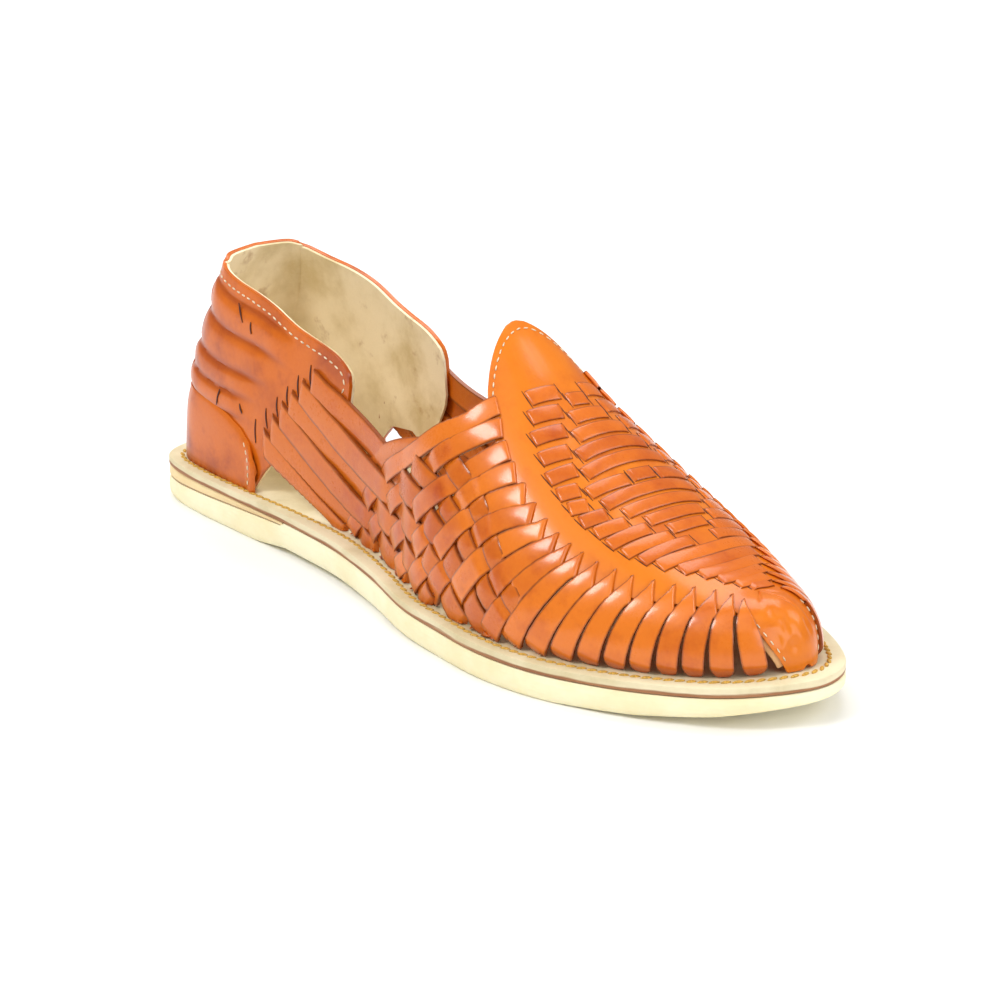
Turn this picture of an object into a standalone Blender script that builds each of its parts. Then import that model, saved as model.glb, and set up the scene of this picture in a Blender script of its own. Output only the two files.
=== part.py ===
"""Huarache sandal, right foot: a woven leather upper on a leather insole, a heel wedge and a
crepe outsole. Metres, Z up, X towards the toe, Y towards the big-toe side, origin on the floor
under the middle of the shoe."""

import math

import bmesh
import bpy
import numpy as np
from mathutils import Matrix

# Driving dimensions of the sole
SOLE_LENGTH = 0.288
BALL_WIDTH = 0.098
HEEL_HEIGHT = 0.0146       # floor to the top of the insole at the heel
FOREFOOT_HEIGHT = 0.0116   # the same under the ball of the foot
TOE_SPRING = 0.007
ARCH_RISE = 0.002
INSOLE_THICKNESS = 0.0032
WEDGE_THICKNESS = 0.0045   # at the back of the heel
WEDGE_END_SHARE = 0.27     # of the sole's length, where the wedge has run out
WEDGE_TIP = 0.0011         # thickness left at its front edge
SEAM_GAP = 0.0003          # between pieces that touch

# Driving dimensions of the upper
INSTEP_RISE = 0.112        # the last's ridge over the insole, where the leg would go on
WELT_MARGIN = 0.006        # insole showing outside the upper
HEEL_LEAN = 0.0095         # how far the back of the collar comes forward
PLATE_WALL = 0.0018        # smooth vamp leather
QUARTER_WALL = 0.0024      # heel leather with its lining
STRIP_THICKNESS = 0.0015
STRIP_RELIEF = 0.0008      # how far a strip stands over the leather it crosses
WEAVE_SWING = 0.0007       # a strip's rise and fall as it goes over and under
FAN_STRIPS = 19            # a side, from the instep to the toe
FAN_WIDTH = 0.0084
HEEL_STRAPS = 6            # a side, from the heel to the basket weave
STRAP_WIDTH = 0.0066
COUNTER_WALL = 0.0013
CENTRE_ROWS = 15           # chevron pairs down the middle of the vamp

COLUMNS = ("along", "lateral", "medial", "welt", "ridge", "fullness")
LAST_ROWS = (
    # along: share of the sole's length; lateral, medial: of the ball width; welt: of the
    # welt margin; ridge: of the instep rise; fullness: the section's roundness, 2 an ellipse
    (0.000, 0.000, 0.000, 0.85, 1.000, 2.00),
    (0.004, -0.163, 0.163, 1.08, 1.000, 2.00),
    (0.017, -0.255, 0.255, 1.33, 1.000, 2.00),
    (0.045, -0.301, 0.301, 1.08, 1.000, 2.00),
    (0.097, -0.323, 0.323, 0.97, 1.000, 2.00),
    (0.191, -0.332, 0.327, 0.92, 0.982, 2.00),
    (0.295, -0.342, 0.311, 1.20, 0.920, 2.00),
    (0.382, -0.367, 0.306, 1.40, 0.857, 2.00),
    (0.469, -0.423, 0.337, 1.20, 0.795, 2.00),
    (0.549, -0.490, 0.398, 1.06, 0.714, 2.05),
    (0.608, -0.510, 0.439, 1.02, 0.589, 2.10),
    (0.677, -0.526, 0.469, 1.00, 0.478, 2.15),
    (0.747, -0.505, 0.474, 1.00, 0.371, 2.25),
    (0.826, -0.429, 0.439, 1.08, 0.268, 2.40),
    (0.896, -0.327, 0.357, 1.17, 0.201, 2.50),
    (0.951, -0.214, 0.265, 1.25, 0.156, 2.60),
    (0.986, -0.077, 0.173, 1.33, 0.134, 2.60),
    (1.000, 0.056, 0.056, 1.33, 0.134, 2.60),
)
HEEL_CENTRE = 0.118        # share of the length where the heel's round has its centre
TOE_CENTRE = 0.910         # and the toe's
CENTRE_SOFTNESS = 0.028

# The smooth vamp leather: along and the chart heights of its outer and inner edges
BAND_COLUMNS = ("turn", "outer", "inner")
BAND_ROWS = (
    (0.529, 0.950, 1.000),
    (0.536, 0.838, 1.000),
    (0.545, 0.740, 1.000),
    (0.553, 0.680, 1.000),
    (0.562, 0.662, 0.930),
    (0.584, 0.646, 0.790),
    (0.612, 0.562, 0.705),
    (0.638, 0.525, 0.667),
    (0.676, 0.525, 0.658),
    (0.708, 0.550, 0.662),
    (0.740, 0.615, 0.730),
    (0.772, 0.700, 0.850),
    (0.800, 0.740, 0.930),
    (0.830, 0.740, 0.960),
    (0.862, 0.640, 0.985),
    (0.890, 0.420, 1.000),
    (0.915, 0.180, 1.000),
    (0.935, 0.020, 1.000),
    (1.000, 0.020, 1.000),
)

# The heel quarter: its lower edge and its rim
QUARTER_COLUMNS = ("turn", "lower", "rim")
QUARTER_ROWS = (
    (0.000, 0.000, 0.455),
    (0.030, 0.000, 0.453),
    (0.060, 0.000, 0.450),
    (0.090, 0.000, 0.445),
    (0.120, 0.000, 0.438),
    (0.200, 0.000, 0.418),
    (0.250, 0.000, 0.408),
    (0.284, 0.000, 0.396),
    (0.300, 0.045, 0.385),
    (0.318, 0.085, 0.378),
    (0.345, 0.098, 0.375),
    (0.366, 0.110, 0.375),
    (0.384, 0.175, 0.371),
    (0.395, 0.225, 0.356),
    (0.402, 0.275, 0.325),
)


def column(columns, rows, name):
    values = [row[columns.index(name)] for row in rows]
    return np.array(values, float)


def smooth_through(xs, ys, x):
    """A smooth curve through the points xs, ys."""
    x = np.asarray(x, float)
    gaps = np.diff(xs)
    slopes = np.diff(ys) / gaps
    tangents = np.empty_like(ys)
    tangents[1:-1] = (slopes[:-1] * gaps[1:] + slopes[1:] * gaps[:-1]) / (gaps[1:] + gaps[:-1])
    tangents[0], tangents[-1] = slopes[0], slopes[-1]
    k = np.clip(np.searchsorted(xs, x) - 1, 0, len(xs) - 2)
    t = (x - xs[k]) / gaps[k]
    low = (2 * t**3 - 3 * t**2 + 1) * ys[k] + (t**3 - 2 * t**2 + t) * gaps[k] * tangents[k]
    high = (3 * t**2 - 2 * t**3) * ys[k + 1] + (t**3 - t**2) * gaps[k] * tangents[k + 1]
    return low + high


def turn_of(along):
    """A share of the length as a turn, 0 at the heel to 1 at the toe, even round both ends."""
    return np.arccos(np.clip(1 - 2 * np.asarray(along, float), -1, 1)) / math.pi


def along_of(turn):
    return (1 - np.cos(math.pi * np.asarray(turn, float))) / 2


ROW_TURNS = turn_of(column(COLUMNS, LAST_ROWS, "along"))


def last_value(name, turn):
    return smooth_through(ROW_TURNS, column(COLUMNS, LAST_ROWS, name), turn)


def sole_edge(turn, medial):
    """Points of the sole's outline on one side."""
    across = last_value("medial" if medial else "lateral", turn) * BALL_WIDTH
    return np.stack([along_of(turn) * SOLE_LENGTH, across], -1)


def inset_edge(turn, medial, inset):
    """The sole's outline moved inwards by an inset that may differ along it."""
    turn = np.asarray(turn, float)
    step = 1e-3
    ahead = sole_edge(np.clip(turn + step, 0, 1), medial)
    run = ahead - sole_edge(np.clip(turn - step, 0, 1), medial)
    run /= np.linalg.norm(run, axis=-1, keepdims=True)
    inward = np.stack([-run[..., 1], run[..., 0]], -1) * (-1 if medial else 1)
    return sole_edge(turn, medial) + inward * np.asarray(inset)[..., None]


def feather(turn, medial):
    """Where the upper meets the insole."""
    return inset_edge(turn, medial, last_value("welt", turn) * WELT_MARGIN)


def insole_top(along):
    """The height of the foot's bed over the floor."""
    stations = np.array([0.0, 0.14, 0.26, 0.42, 0.57, 0.69, 0.82, 0.91, 1.0])
    drop = HEEL_HEIGHT - FOREFOOT_HEIGHT
    shares = np.array([1.0, 1.0, 1.0, 0.8, 0.2, 0.0, 0.0, 0.0, 0.0])
    lift = np.array([0.0, 0.0, 0.0, 0.0, 0.0, 0.0, 0.03, 0.17, 0.457])
    heights = FOREFOOT_HEIGHT + drop * shares + TOE_SPRING * lift
    return smooth_through(stations, heights, along)


def tread_height(along):
    """The height of the outsole's underside over the floor."""
    stations = np.array([0.0, 0.215, 0.271, 0.382, 0.52, 0.608, 0.781, 0.868, 0.938, 1.0])
    arch = np.array([0.0, 0.0, 1.0, 1.0, 0.4, 0.0, 0.0, 0.0, 0.0, 0.0]) * ARCH_RISE
    spring = np.array([0.0, 0.0, 0.0, 0.0, 0.0, 0.0, 0.0, 0.17, 0.514, 1.0]) * TOE_SPRING
    return np.interp(along, stations, arch + spring)


def wedge_thickness(along):
    share = np.clip(np.asarray(along, float) / WEDGE_END_SHARE, 0, 1)
    return WEDGE_THICKNESS + (WEDGE_TIP - WEDGE_THICKNESS) * share


def centre_across(along):
    """The last's centre line, which swings towards the big toe."""
    stations = np.array([0.0, 0.21, 0.45, 0.69, 0.87, 1.0])
    shares = np.array([0.0, 0.0, -0.015, -0.010, 0.020, 0.061])
    return smooth_through(stations, shares * BALL_WIDTH, along)


def soft_clip(value, low, high, softness):
    value = low + 0.5 * ((value - low) + np.sqrt((value - low) ** 2 + softness**2))
    return high - 0.5 * ((high - value) + np.sqrt((high - value) ** 2 + softness**2))


def lean(height, along):
    """How far the heel comes forward at a height over the insole."""
    heights = np.array([0.0, 0.020, 0.032, 0.045, 0.056, 0.066, 0.2])
    shares = np.array([0.0, 0.105, 0.21, 0.58, 0.895, 1.0, 1.0])
    fade = np.clip((0.40 - along) / 0.26, 0, 1)
    return HEEL_LEAN * smooth_through(heights, shares, height) * fade**2 * (3 - 2 * fade)


def on_last(turn, rise):
    """Points of the last. turn runs from the heel (0) to the toe (1), and below 0 or over 1 on
    round the end. rise runs from the lateral feather line (0) over the ridge (1) to the medial
    one (2)."""
    turn, rise = np.broadcast_arrays(np.asarray(turn, float), np.asarray(rise, float))
    past = (turn < 0) | (turn > 1)
    rise = np.where(past, 2 - rise, rise)
    turn = np.where(turn < 0, -turn, np.where(turn > 1, 2 - turn, turn))
    medial = rise > 1
    angle = np.where(medial, 2 - rise, rise) * math.pi / 2
    foot = np.where(medial[..., None], feather(turn, True), feather(turn, False))
    along = along_of(turn)
    middle = soft_clip(along, HEEL_CENTRE, TOE_CENTRE, CENTRE_SOFTNESS)
    centre = np.stack([middle * SOLE_LENGTH, centre_across(middle)], -1)
    power = 2 / last_value("fullness", turn)
    inwards = 1 - np.maximum(np.cos(angle), 0) ** power
    upwards = np.maximum(np.sin(angle), 0) ** power
    top = insole_top(middle) + last_value("ridge", turn_of(middle)) * INSTEP_RISE
    base = insole_top(along)
    height = base + (top - base) * upwards
    plan = foot + (centre - foot) * inwards[..., None]
    forward = lean(height - base, along)
    return np.stack([plan[..., 0] + forward, plan[..., 1], height], -1)


def slopes_on_last(turn, rise, step=2e-3):
    by_turn = (on_last(turn + step, rise) - on_last(turn - step, rise)) / (2 * step)
    by_rise = (on_last(turn, rise + step) - on_last(turn, rise - step)) / (2 * step)
    return by_turn, by_rise


def outward(turn, rise):
    """The last's normals, kept steady where the sections draw together at its ends."""
    turn, rise = np.broadcast_arrays(np.asarray(turn, float), np.asarray(rise, float))
    rise = np.where(np.abs(rise) < 0.01, 0.01, rise)
    near = np.abs(rise - 1) < 0.03
    normals = []
    for shifted in (np.where(near, 0.97, rise), np.where(near, 1.03, rise)):
        by_turn, by_rise = slopes_on_last(turn, shifted)
        normal = np.cross(by_turn, by_rise)
        normals.append(normal / np.linalg.norm(normal, axis=-1, keepdims=True))
    normal = normals[0] + normals[1]
    return normal / np.linalg.norm(normal, axis=-1, keepdims=True)


def offset_point(turn, rise, distance):
    """Points off the last by a distance, and never below the seam over the insole."""
    points = on_last(turn, rise) + outward(turn, rise) * np.asarray(distance)[..., None]
    floor = insole_top(np.clip(points[..., 0] / SOLE_LENGTH, 0, 1)) + SEAM_GAP
    points[..., 2] = np.maximum(points[..., 2], floor)
    return points


def path_through(points, count):
    """An even run of chart places on a smooth curve through the points."""
    points = np.array(points, float)
    shares = np.linspace(0, 1, len(points))
    at = np.linspace(0, 1, count)
    return np.stack([smooth_through(shares, points[:, i], at) for i in (0, 1)], -1)


def mirrored(path):
    """The same run on the medial side."""
    return np.stack([path[:, 0], 2 - path[:, 1]], -1)


def sideways(path, reach):
    """Chart places at a reach in metres to the side of each place of a run."""
    turn, rise = path[:, 0], path[:, 1]
    by_turn, by_rise = slopes_on_last(turn, rise)
    run = np.gradient(on_last(turn, rise), axis=0)
    side = np.cross(outward(turn, rise), run)
    side /= np.linalg.norm(side, axis=-1, keepdims=True)
    side *= np.asarray(reach).reshape(-1, 1)
    a, b, c = ((by_turn * by_turn).sum(-1), (by_turn * by_rise).sum(-1), (by_rise * by_rise).sum(-1))
    p, q = (by_turn * side).sum(-1), (by_rise * side).sum(-1)
    determinant = a * c - b * b
    return path + np.stack([(c * p - b * q) / determinant, (a * q - b * p) / determinant], -1)


def add_ribbon(shape, path, width, inner, outer):
    """A strip of leather laid along the last: a closed loft of four-cornered sections."""
    count = len(path)
    half = np.broadcast_to(np.asarray(width, float), (count,)) / 2
    edges = (sideways(path, half), sideways(path, -half))
    corners = []
    for edge, distance in ((0, inner), (1, inner), (1, outer), (0, outer)):
        far = np.broadcast_to(np.asarray(distance, float), (count,))
        corners.append(offset_point(edges[edge][:, 0], edges[edge][:, 1], far))
    rings = [[shape.verts.new(corner[i]) for corner in corners] for i in range(count)]
    shape.faces.new(rings[0])
    shape.faces.new(rings[-1][::-1])
    for ring, ahead in zip(rings, rings[1:]):
        for i in range(4):
            j = (i + 1) % 4
            shape.faces.new((ring[j], ring[i], ahead[i], ahead[j]))


def add_sheet(shape, turns, rises, inner, outer):
    """A wall between two offsets of the last, closed all round its edges. rises, inner and
    outer hold a row for each turn. Places of the last that are one point share it."""
    if np.ndim(turns) == 1:
        turns = np.broadcast_to(np.asarray(turns, float)[:, None], rises.shape)
    places = on_last(turns, rises)
    walls = [offset_point(turns, rises, np.broadcast_to(d, rises.shape)) for d in (inner, outer)]
    found = {}
    index = np.empty(rises.shape, int)
    for i, j in np.ndindex(rises.shape):
        key = tuple(np.round(places[i, j] / 2e-5).astype(int))
        index[i, j] = found.setdefault(key, len(found))
    corners = {}
    for i, j in np.ndindex(rises.shape):
        corners.setdefault(index[i, j], [wall[i, j] for wall in walls])
    inside = {k: shape.verts.new(points[0]) for k, points in corners.items()}
    outside = {k: shape.verts.new(points[1]) for k, points in corners.items()}
    used = {}
    for i in range(rises.shape[0] - 1):
        for j in range(rises.shape[1] - 1):
            loop = [index[i, j], index[i, j + 1], index[i + 1, j + 1], index[i + 1, j]]
            loop = [k for n, k in enumerate(loop) if k != loop[n - 1]]
            if len(set(loop)) < 3:
                continue
            shape.faces.new([outside[k] for k in loop])
            shape.faces.new([inside[k] for k in loop[::-1]])
            for a, b in zip(loop, loop[1:] + loop[:1]):
                used[a, b] = used.get((a, b), 0) + 1
    for a, b in used:
        if (b, a) not in used:
            shape.faces.new((outside[b], outside[a], inside[a], inside[b]))


def piece(name, shape, material, collection):
    """One object from a bmesh, its faces turned outwards."""
    bmesh.ops.recalc_face_normals(shape, faces=shape.faces)
    bmesh.ops.triangulate(shape, faces=shape.faces)
    mesh = bpy.data.meshes.new(name)
    shape.to_mesh(mesh)
    shape.free()
    if material:
        mesh.materials.append(material)
    made = bpy.data.objects.new(name, mesh)
    collection.objects.link(made)
    return made


def helper(name, shape, collection):
    made = piece(name, shape, None, collection)
    made.hide_render = True
    made.display_type = "WIRE"
    return made


def joined(target, other):
    union = target.modifiers.new(other.name, "BOOLEAN")
    union.operation = "UNION"
    union.solver = "MANIFOLD"
    union.object = other


def leather(name, colour, roughness):
    material = bpy.data.materials.new(name)
    material.use_nodes = True
    shader = material.node_tree.nodes["Principled BSDF"]
    shader.inputs["Base Color"].default_value = (*colour, 1)
    shader.inputs["Roughness"].default_value = roughness
    shader.inputs["Metallic"].default_value = 0
    return material


SOLE_STATIONS = 40


def sole_turns(*extra):
    """Stations along the sole, close at both ends, with the wedge's end among them."""
    shares = {round(float(t), 5) for t in np.linspace(0, 1, SOLE_STATIONS)}
    return sorted(shares | {round(float(turn_of(share)), 6) for share in extra})


def add_slab(shape, turns, levels):
    """A layer of the sole. levels holds pairs, bottom to top, of an inset from the outline and
    a function of the share along that gives the height."""
    turns = np.array(turns)
    along = along_of(turns)
    rails = []
    for inset, height in levels:
        sides = []
        for medial in (False, True):
            edge = inset_edge(turns, medial, np.full(len(turns), inset))
            sides.append(np.column_stack([edge, height(along)]))
        rails.append([[shape.verts.new(point) for point in side] for side in sides])
    last = len(turns) - 1
    for i in range(last):
        for rail, flip in ((rails[0], 1), (rails[-1], -1)):
            loop = [rail[0][i], rail[1][i], rail[1][i + 1], rail[0][i + 1]]
            shape.faces.new(loop[::flip])
        for low, high in zip(rails, rails[1:]):
            for side, flip in ((0, 1), (1, -1)):
                loop = [low[side][i], low[side][i + 1], high[side][i + 1], high[side][i]]
                shape.faces.new(loop[::flip])
    for i in (0, last):
        for low, high in zip(rails, rails[1:]):
            shape.faces.new((low[0][i], low[1][i], high[1][i], high[0][i]))
    bmesh.ops.remove_doubles(shape, verts=shape.verts, dist=2e-5)


def insole_under(along):
    return insole_top(along) - INSOLE_THICKNESS


def outsole_top(along):
    wedge = np.where(along <= WEDGE_END_SHARE + 1e-4, wedge_thickness(along) + SEAM_GAP, 0)
    return insole_under(along) - SEAM_GAP - wedge


def make_insole(material, collection):
    shape = bmesh.new()
    edge = 0.0005
    levels = ((edge, insole_under), (0.0, lambda a: insole_under(a) + edge),
              (0.0, lambda a: insole_top(a) - edge), (edge, insole_top))
    add_slab(shape, sole_turns(), levels)
    return piece("insole", shape, material, collection)


def make_wedge(material, collection):
    shape = bmesh.new()
    turns = [t for t in sole_turns(WEDGE_END_SHARE) if along_of(t) <= WEDGE_END_SHARE + 1e-4]
    inset = 0.0004
    levels = ((inset, lambda a: insole_under(a) - SEAM_GAP - wedge_thickness(a)),
              (inset, lambda a: insole_under(a) - SEAM_GAP))
    add_slab(shape, turns, levels)
    return piece("heel_wedge", shape, material, collection)


def make_outsole(material, collection):
    shape = bmesh.new()
    step = WEDGE_END_SHARE + SEAM_GAP / SOLE_LENGTH + 1e-3
    tread = (0.215, 0.271, 0.608, 0.781)
    levels = (
        (0.0016, tread_height),
        (0.0004, lambda a: tread_height(a) + 0.0012),
        (-0.0002, lambda a: 0.5 * (tread_height(a) + outsole_top(a))),
        (0.0004, outsole_top),
    )
    add_slab(shape, sole_turns(WEDGE_END_SHARE, step, *tread), levels)
    return piece("outsole", shape, material, collection)


def band_edge(name, turn):
    turns = column(BAND_COLUMNS, BAND_ROWS, "turn")
    return np.clip(smooth_through(turns, column(BAND_COLUMNS, BAND_ROWS, name), turn), 0, 1)


def quarter_edge(name, turn):
    turns = column(QUARTER_COLUMNS, QUARTER_ROWS, "turn")
    return np.interp(np.abs(turn), turns, column(QUARTER_COLUMNS, QUARTER_ROWS, name))


TOE_POLE = 0.12            # turns this near the toe share one point of the ridge


def vamp_plate():
    """The smooth leather: tongue, the bands beside the weave and the toe, in one piece."""
    shape = bmesh.new()
    turns = column(BAND_COLUMNS, BAND_ROWS, "turn")
    turns = np.concatenate([turns, 2 - turns[-2::-1]])
    low = band_edge("outer", np.where(turns > 1, 2 - turns, turns))
    shares = np.array([0.0, 0.18, 0.42, 0.7, 1.0])
    rises = low[:, None] + (1 - low[:, None]) * shares[None, :]
    rises = np.minimum(rises, 1)
    turns = np.repeat(turns[:, None], len(shares), axis=1)
    turns[:, -1] = np.where(np.abs(turns[:, -1] - 1) < TOE_POLE, 1.0, turns[:, -1])
    add_sheet(shape, turns, rises, -PLATE_WALL, 0.0)
    return shape


FAN_COLUMNS = ("strip", "foot", "tip")
FAN_ROWS = (
    # strip: share of the row of strips; foot, tip: turns where it meets insole and band
    (0.000, 0.418, 0.562),
    (0.111, 0.472, 0.584),
    (0.222, 0.521, 0.612),
    (0.333, 0.568, 0.638),
    (0.444, 0.617, 0.664),
    (0.556, 0.664, 0.692),
    (0.667, 0.712, 0.722),
    (0.778, 0.758, 0.756),
    (0.889, 0.808, 0.794),
    (1.000, 0.880, 0.848),
)

STRAP_COLUMNS = ("slit_turn", "slit_rise", "middle_turn", "middle_rise", "foot")
STRAP_ROWS = (
    (0.350, 0.292, 0.446, 0.250, 0.640),
    (0.337, 0.258, 0.440, 0.200, 0.603),
    (0.325, 0.226, 0.434, 0.156, 0.564),
    (0.313, 0.194, 0.428, 0.112, 0.522),
    (0.301, 0.160, 0.420, 0.072, 0.478),
    (0.290, 0.122, 0.405, 0.030, 0.436),
)


def fan_path(share, count=9):
    """A fan strip from the insole up to the band, and a little way under it."""
    shares = column(FAN_COLUMNS, FAN_ROWS, "strip")
    foot = float(smooth_through(shares, column(FAN_COLUMNS, FAN_ROWS, "foot"), share))
    tip = float(smooth_through(shares, column(FAN_COLUMNS, FAN_ROWS, "tip"), share))
    top = float(band_edge("outer", tip)) + 0.05
    up = np.linspace(0, 1, count)
    return np.stack([foot + (tip - foot) * up, top * up], -1)


def strap_path(row, count=12):
    slit_turn, slit_rise, middle_turn, middle_rise, foot = row
    points = ((slit_turn, slit_rise), (middle_turn, middle_rise),
              ((middle_turn + foot) / 2, middle_rise * 0.62), (foot, 0.0))
    lengths = np.array([0.0, 0.42, 0.70, 1.0])
    at = np.linspace(0, 1, count)
    points = np.array(points)
    return np.stack([smooth_through(lengths, points[:, i], at) for i in (0, 1)], -1)


def crossing(first, second):
    """Where two runs cross on the chart, as a share of each, or None."""
    a, b = first[:-1, None], first[1:, None]
    c, d = second[None, :-1], second[None, 1:]
    r, s, q = b - a, d - c, c - a
    area = r[..., 0] * s[..., 1] - r[..., 1] * s[..., 0]
    area = np.where(np.abs(area) < 1e-12, 1e-12, area)
    t = (q[..., 0] * s[..., 1] - q[..., 1] * s[..., 0]) / area
    u = (q[..., 0] * r[..., 1] - q[..., 1] * r[..., 0]) / area
    hits = np.argwhere((t >= 0) & (t <= 1) & (u >= 0) & (u <= 1))
    if not len(hits):
        return None
    i, j = hits[0]
    return (i + t[i, j]) / (len(first) - 1), (j + u[i, j]) / (len(second) - 1)


def at_share(path, shares):
    """Chart places at shares of a run."""
    own = np.linspace(0, 1, len(path))
    return np.stack([np.interp(shares, own, path[:, i]) for i in (0, 1)], -1)


def spacing(path, neighbour, shares):
    """The clear width between two runs at shares of the first."""
    here, there = on_last(*at_share(path, shares).T), on_last(*at_share(neighbour, shares).T)
    run = np.gradient(here, axis=0)
    run /= np.linalg.norm(run, axis=-1, keepdims=True)
    apart = there - here
    return np.linalg.norm(apart - (apart * run).sum(-1, keepdims=True) * run, axis=-1)


# Share of the room between neighbours that a strip fills, from the insole up
FAN_COVER = (0.80, 0.86, 0.93, 0.93, 0.90)
WOVEN_COVER = (0.92, 1.03, 1.03, 0.84, 0.90)
STRAP_COVER = (1.04, 0.90)
STRAP_STEP = 0.00018       # every other strap lies this much lower
FIRST_WOVEN = 0.12         # share of a heel strap where the basket weave may begin
FREE_MARKS = (0.15, 0.4, 0.68)     # shares of a fan strip modelled where nothing crosses it
LOOP_ROWS = (
    # start and end of each strap that loops round the uppermost fan strip
    ((0.486, 0.310), (0.676, 0.060)),
    ((0.507, 0.405), (0.660, 0.180)),
    ((0.527, 0.500), (0.640, 0.300)),
)


def strap_paths():
    straps = [strap_path(row) for row in STRAP_ROWS]
    return straps + [path_through(row, 8) for row in LOOP_ROWS]


def crossings(straps):
    """Where each fan strip meets each strap: shares of the fan strip and of the strap."""
    fans = [fan_path(index / (FAN_STRIPS - 1)) for index in range(FAN_STRIPS)]
    met = {}
    for index, fan in enumerate(fans):
        for number, strap in enumerate(straps):
            hit = crossing(fan, strap)
            if hit and (hit[1] > FIRST_WOVEN or number >= HEEL_STRAPS):
                met[index, number] = hit
    return met


def fan_marks(index, met):
    """Shares of a fan strip to model, and how far it rises or falls at each as it goes over
    and under the straps. The last number is the share where its weaving ends."""
    hits = sorted((hit[0], number) for (fan, number), hit in met.items() if fan == index)
    marks = {0.0: 0.0, 1.0: 0.0}
    for share, number in hits:
        marks[share] = WEAVE_SWING if (index + number) % 2 else -WEAVE_SWING
    woven = hits[-1][0] if hits else 0.0
    for share in FREE_MARKS:
        if share > woven + 0.12:
            marks[share] = 0.0
    shares = np.array(sorted(marks))
    return shares, np.array([marks[share] for share in shares]), woven


def fan_strip(shape, index, met, medial):
    share, step = index / (FAN_STRIPS - 1), 1 / (FAN_STRIPS - 1)
    path = fan_path(share)
    beside = fan_path(share + step if index < FAN_STRIPS - 1 else share - step)
    shares, swing, woven = fan_marks(index, met)
    if woven > 0.25:
        cover = np.interp(shares, (0, 0.12, woven, woven + 0.08, 1), WOVEN_COVER)
    else:
        cover = np.interp(shares, (0, 0.08, 0.3, 0.8, 1), FAN_COVER)
    width = np.minimum(spacing(path, beside, shares), FAN_WIDTH * 1.15) * cover
    width[-1] *= 0.6
    outer = STRIP_RELIEF + swing
    outer[0], outer[-1] = 0.0, -PLATE_WALL / 2
    run = at_share(path, shares)
    add_ribbon(shape, mirrored(run) if medial else run, width, -STRIP_THICKNESS, outer)


def heel_strap(shape, number, straps, medial):
    """A strap from its slit in the quarter through the basket weave, or a looped one."""
    path = straps[number]
    looped = number >= HEEL_STRAPS
    shares = np.linspace(0, 1, 6 if looped else 9)
    outer = np.full(len(shares), STRIP_RELIEF / 2) - STRAP_STEP * (number % 2)
    outer[-1] = 0.0
    if looped:
        width = np.full(len(shares), STRAP_WIDTH * 0.85)
    else:
        beside = straps[number + 1 if number < HEEL_STRAPS - 1 else number - 1]
        cover = STRAP_COVER[0] if number < HEEL_STRAPS - 2 else STRAP_COVER[1]
        width = np.minimum(spacing(path, beside, shares), STRAP_WIDTH) * cover
        width[0] *= 0.86
        outer[0] = -QUARTER_WALL / 2
    run = at_share(path, shares)
    inner = -STRIP_THICKNESS * (0.62 if number % 2 else 0.78)
    add_ribbon(shape, mirrored(run) if medial else run, width, inner, outer)


def weave_groups(collection):
    """The strips of both sides, in groups whose strips don't touch each other."""
    straps = strap_paths()
    met = crossings(straps)
    groups = []
    for parity, name in enumerate(("even", "odd")):
        fans, bands = bmesh.new(), bmesh.new()
        for medial in (False, True):
            for index in range(parity, FAN_STRIPS, 2):
                fan_strip(fans, index, met, medial)
            for number in range(parity, len(straps), 2):
                heel_strap(bands, number, straps, medial)
        groups.append(helper(f"fan_strips_{name}", fans, collection))
        groups.append(helper(f"heel_straps_{name}", bands, collection))
    return groups


CENTRE_FIRST = 0.590       # turn of the first row of the centre weave
CENTRE_LAST = 0.838
CENTRE_SPLIT = 8           # rows with a box a side and one between them; the rest run across
BOX_REACH = 0.90           # rise where a side box ends


def centre_weave(collection):
    """The raised strips down the middle of the vamp."""
    sides, middles = bmesh.new(), bmesh.new()
    turns = np.linspace(CENTRE_FIRST, CENTRE_LAST, CENTRE_ROWS)
    pitch = turns[1] - turns[0]
    for row, turn in enumerate(turns):
        low = float(band_edge("inner", turn)) + 0.02
        width = 0.80 * pitch * SOLE_LENGTH * math.pi / 2 * math.sin(math.pi * turn)
        if row < CENTRE_SPLIT:
            path = path_through(((turn - 0.003, low), (turn + 0.004, BOX_REACH)), 2)
            for run in (path, mirrored(path)):
                add_ribbon(sides, run, width, -STRIP_THICKNESS / 2, STRIP_RELIEF)
            if row:
                back = turn - pitch / 2
                path = path_through(((back, 0.925), (back, 1.075)), 3)
                add_ribbon(middles, path, width, -STRIP_THICKNESS / 2, STRIP_RELIEF)
        else:
            path = path_through(((turn, low), (turn + 0.004, 1.0), (turn, 2 - low)), 5)
            add_ribbon(middles, path, width, -STRIP_THICKNESS / 2, STRIP_RELIEF)
    return [helper("centre_boxes", sides, collection), helper("centre_strips", middles, collection)]


HEEL_BANDS = 5             # raised strips woven round the back of the heel
BAND_LOW, BAND_HIGH = 0.36, 0.86   # shares of the quarter's height that they fill
BAND_END = 0.235           # turn where they go in


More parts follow.
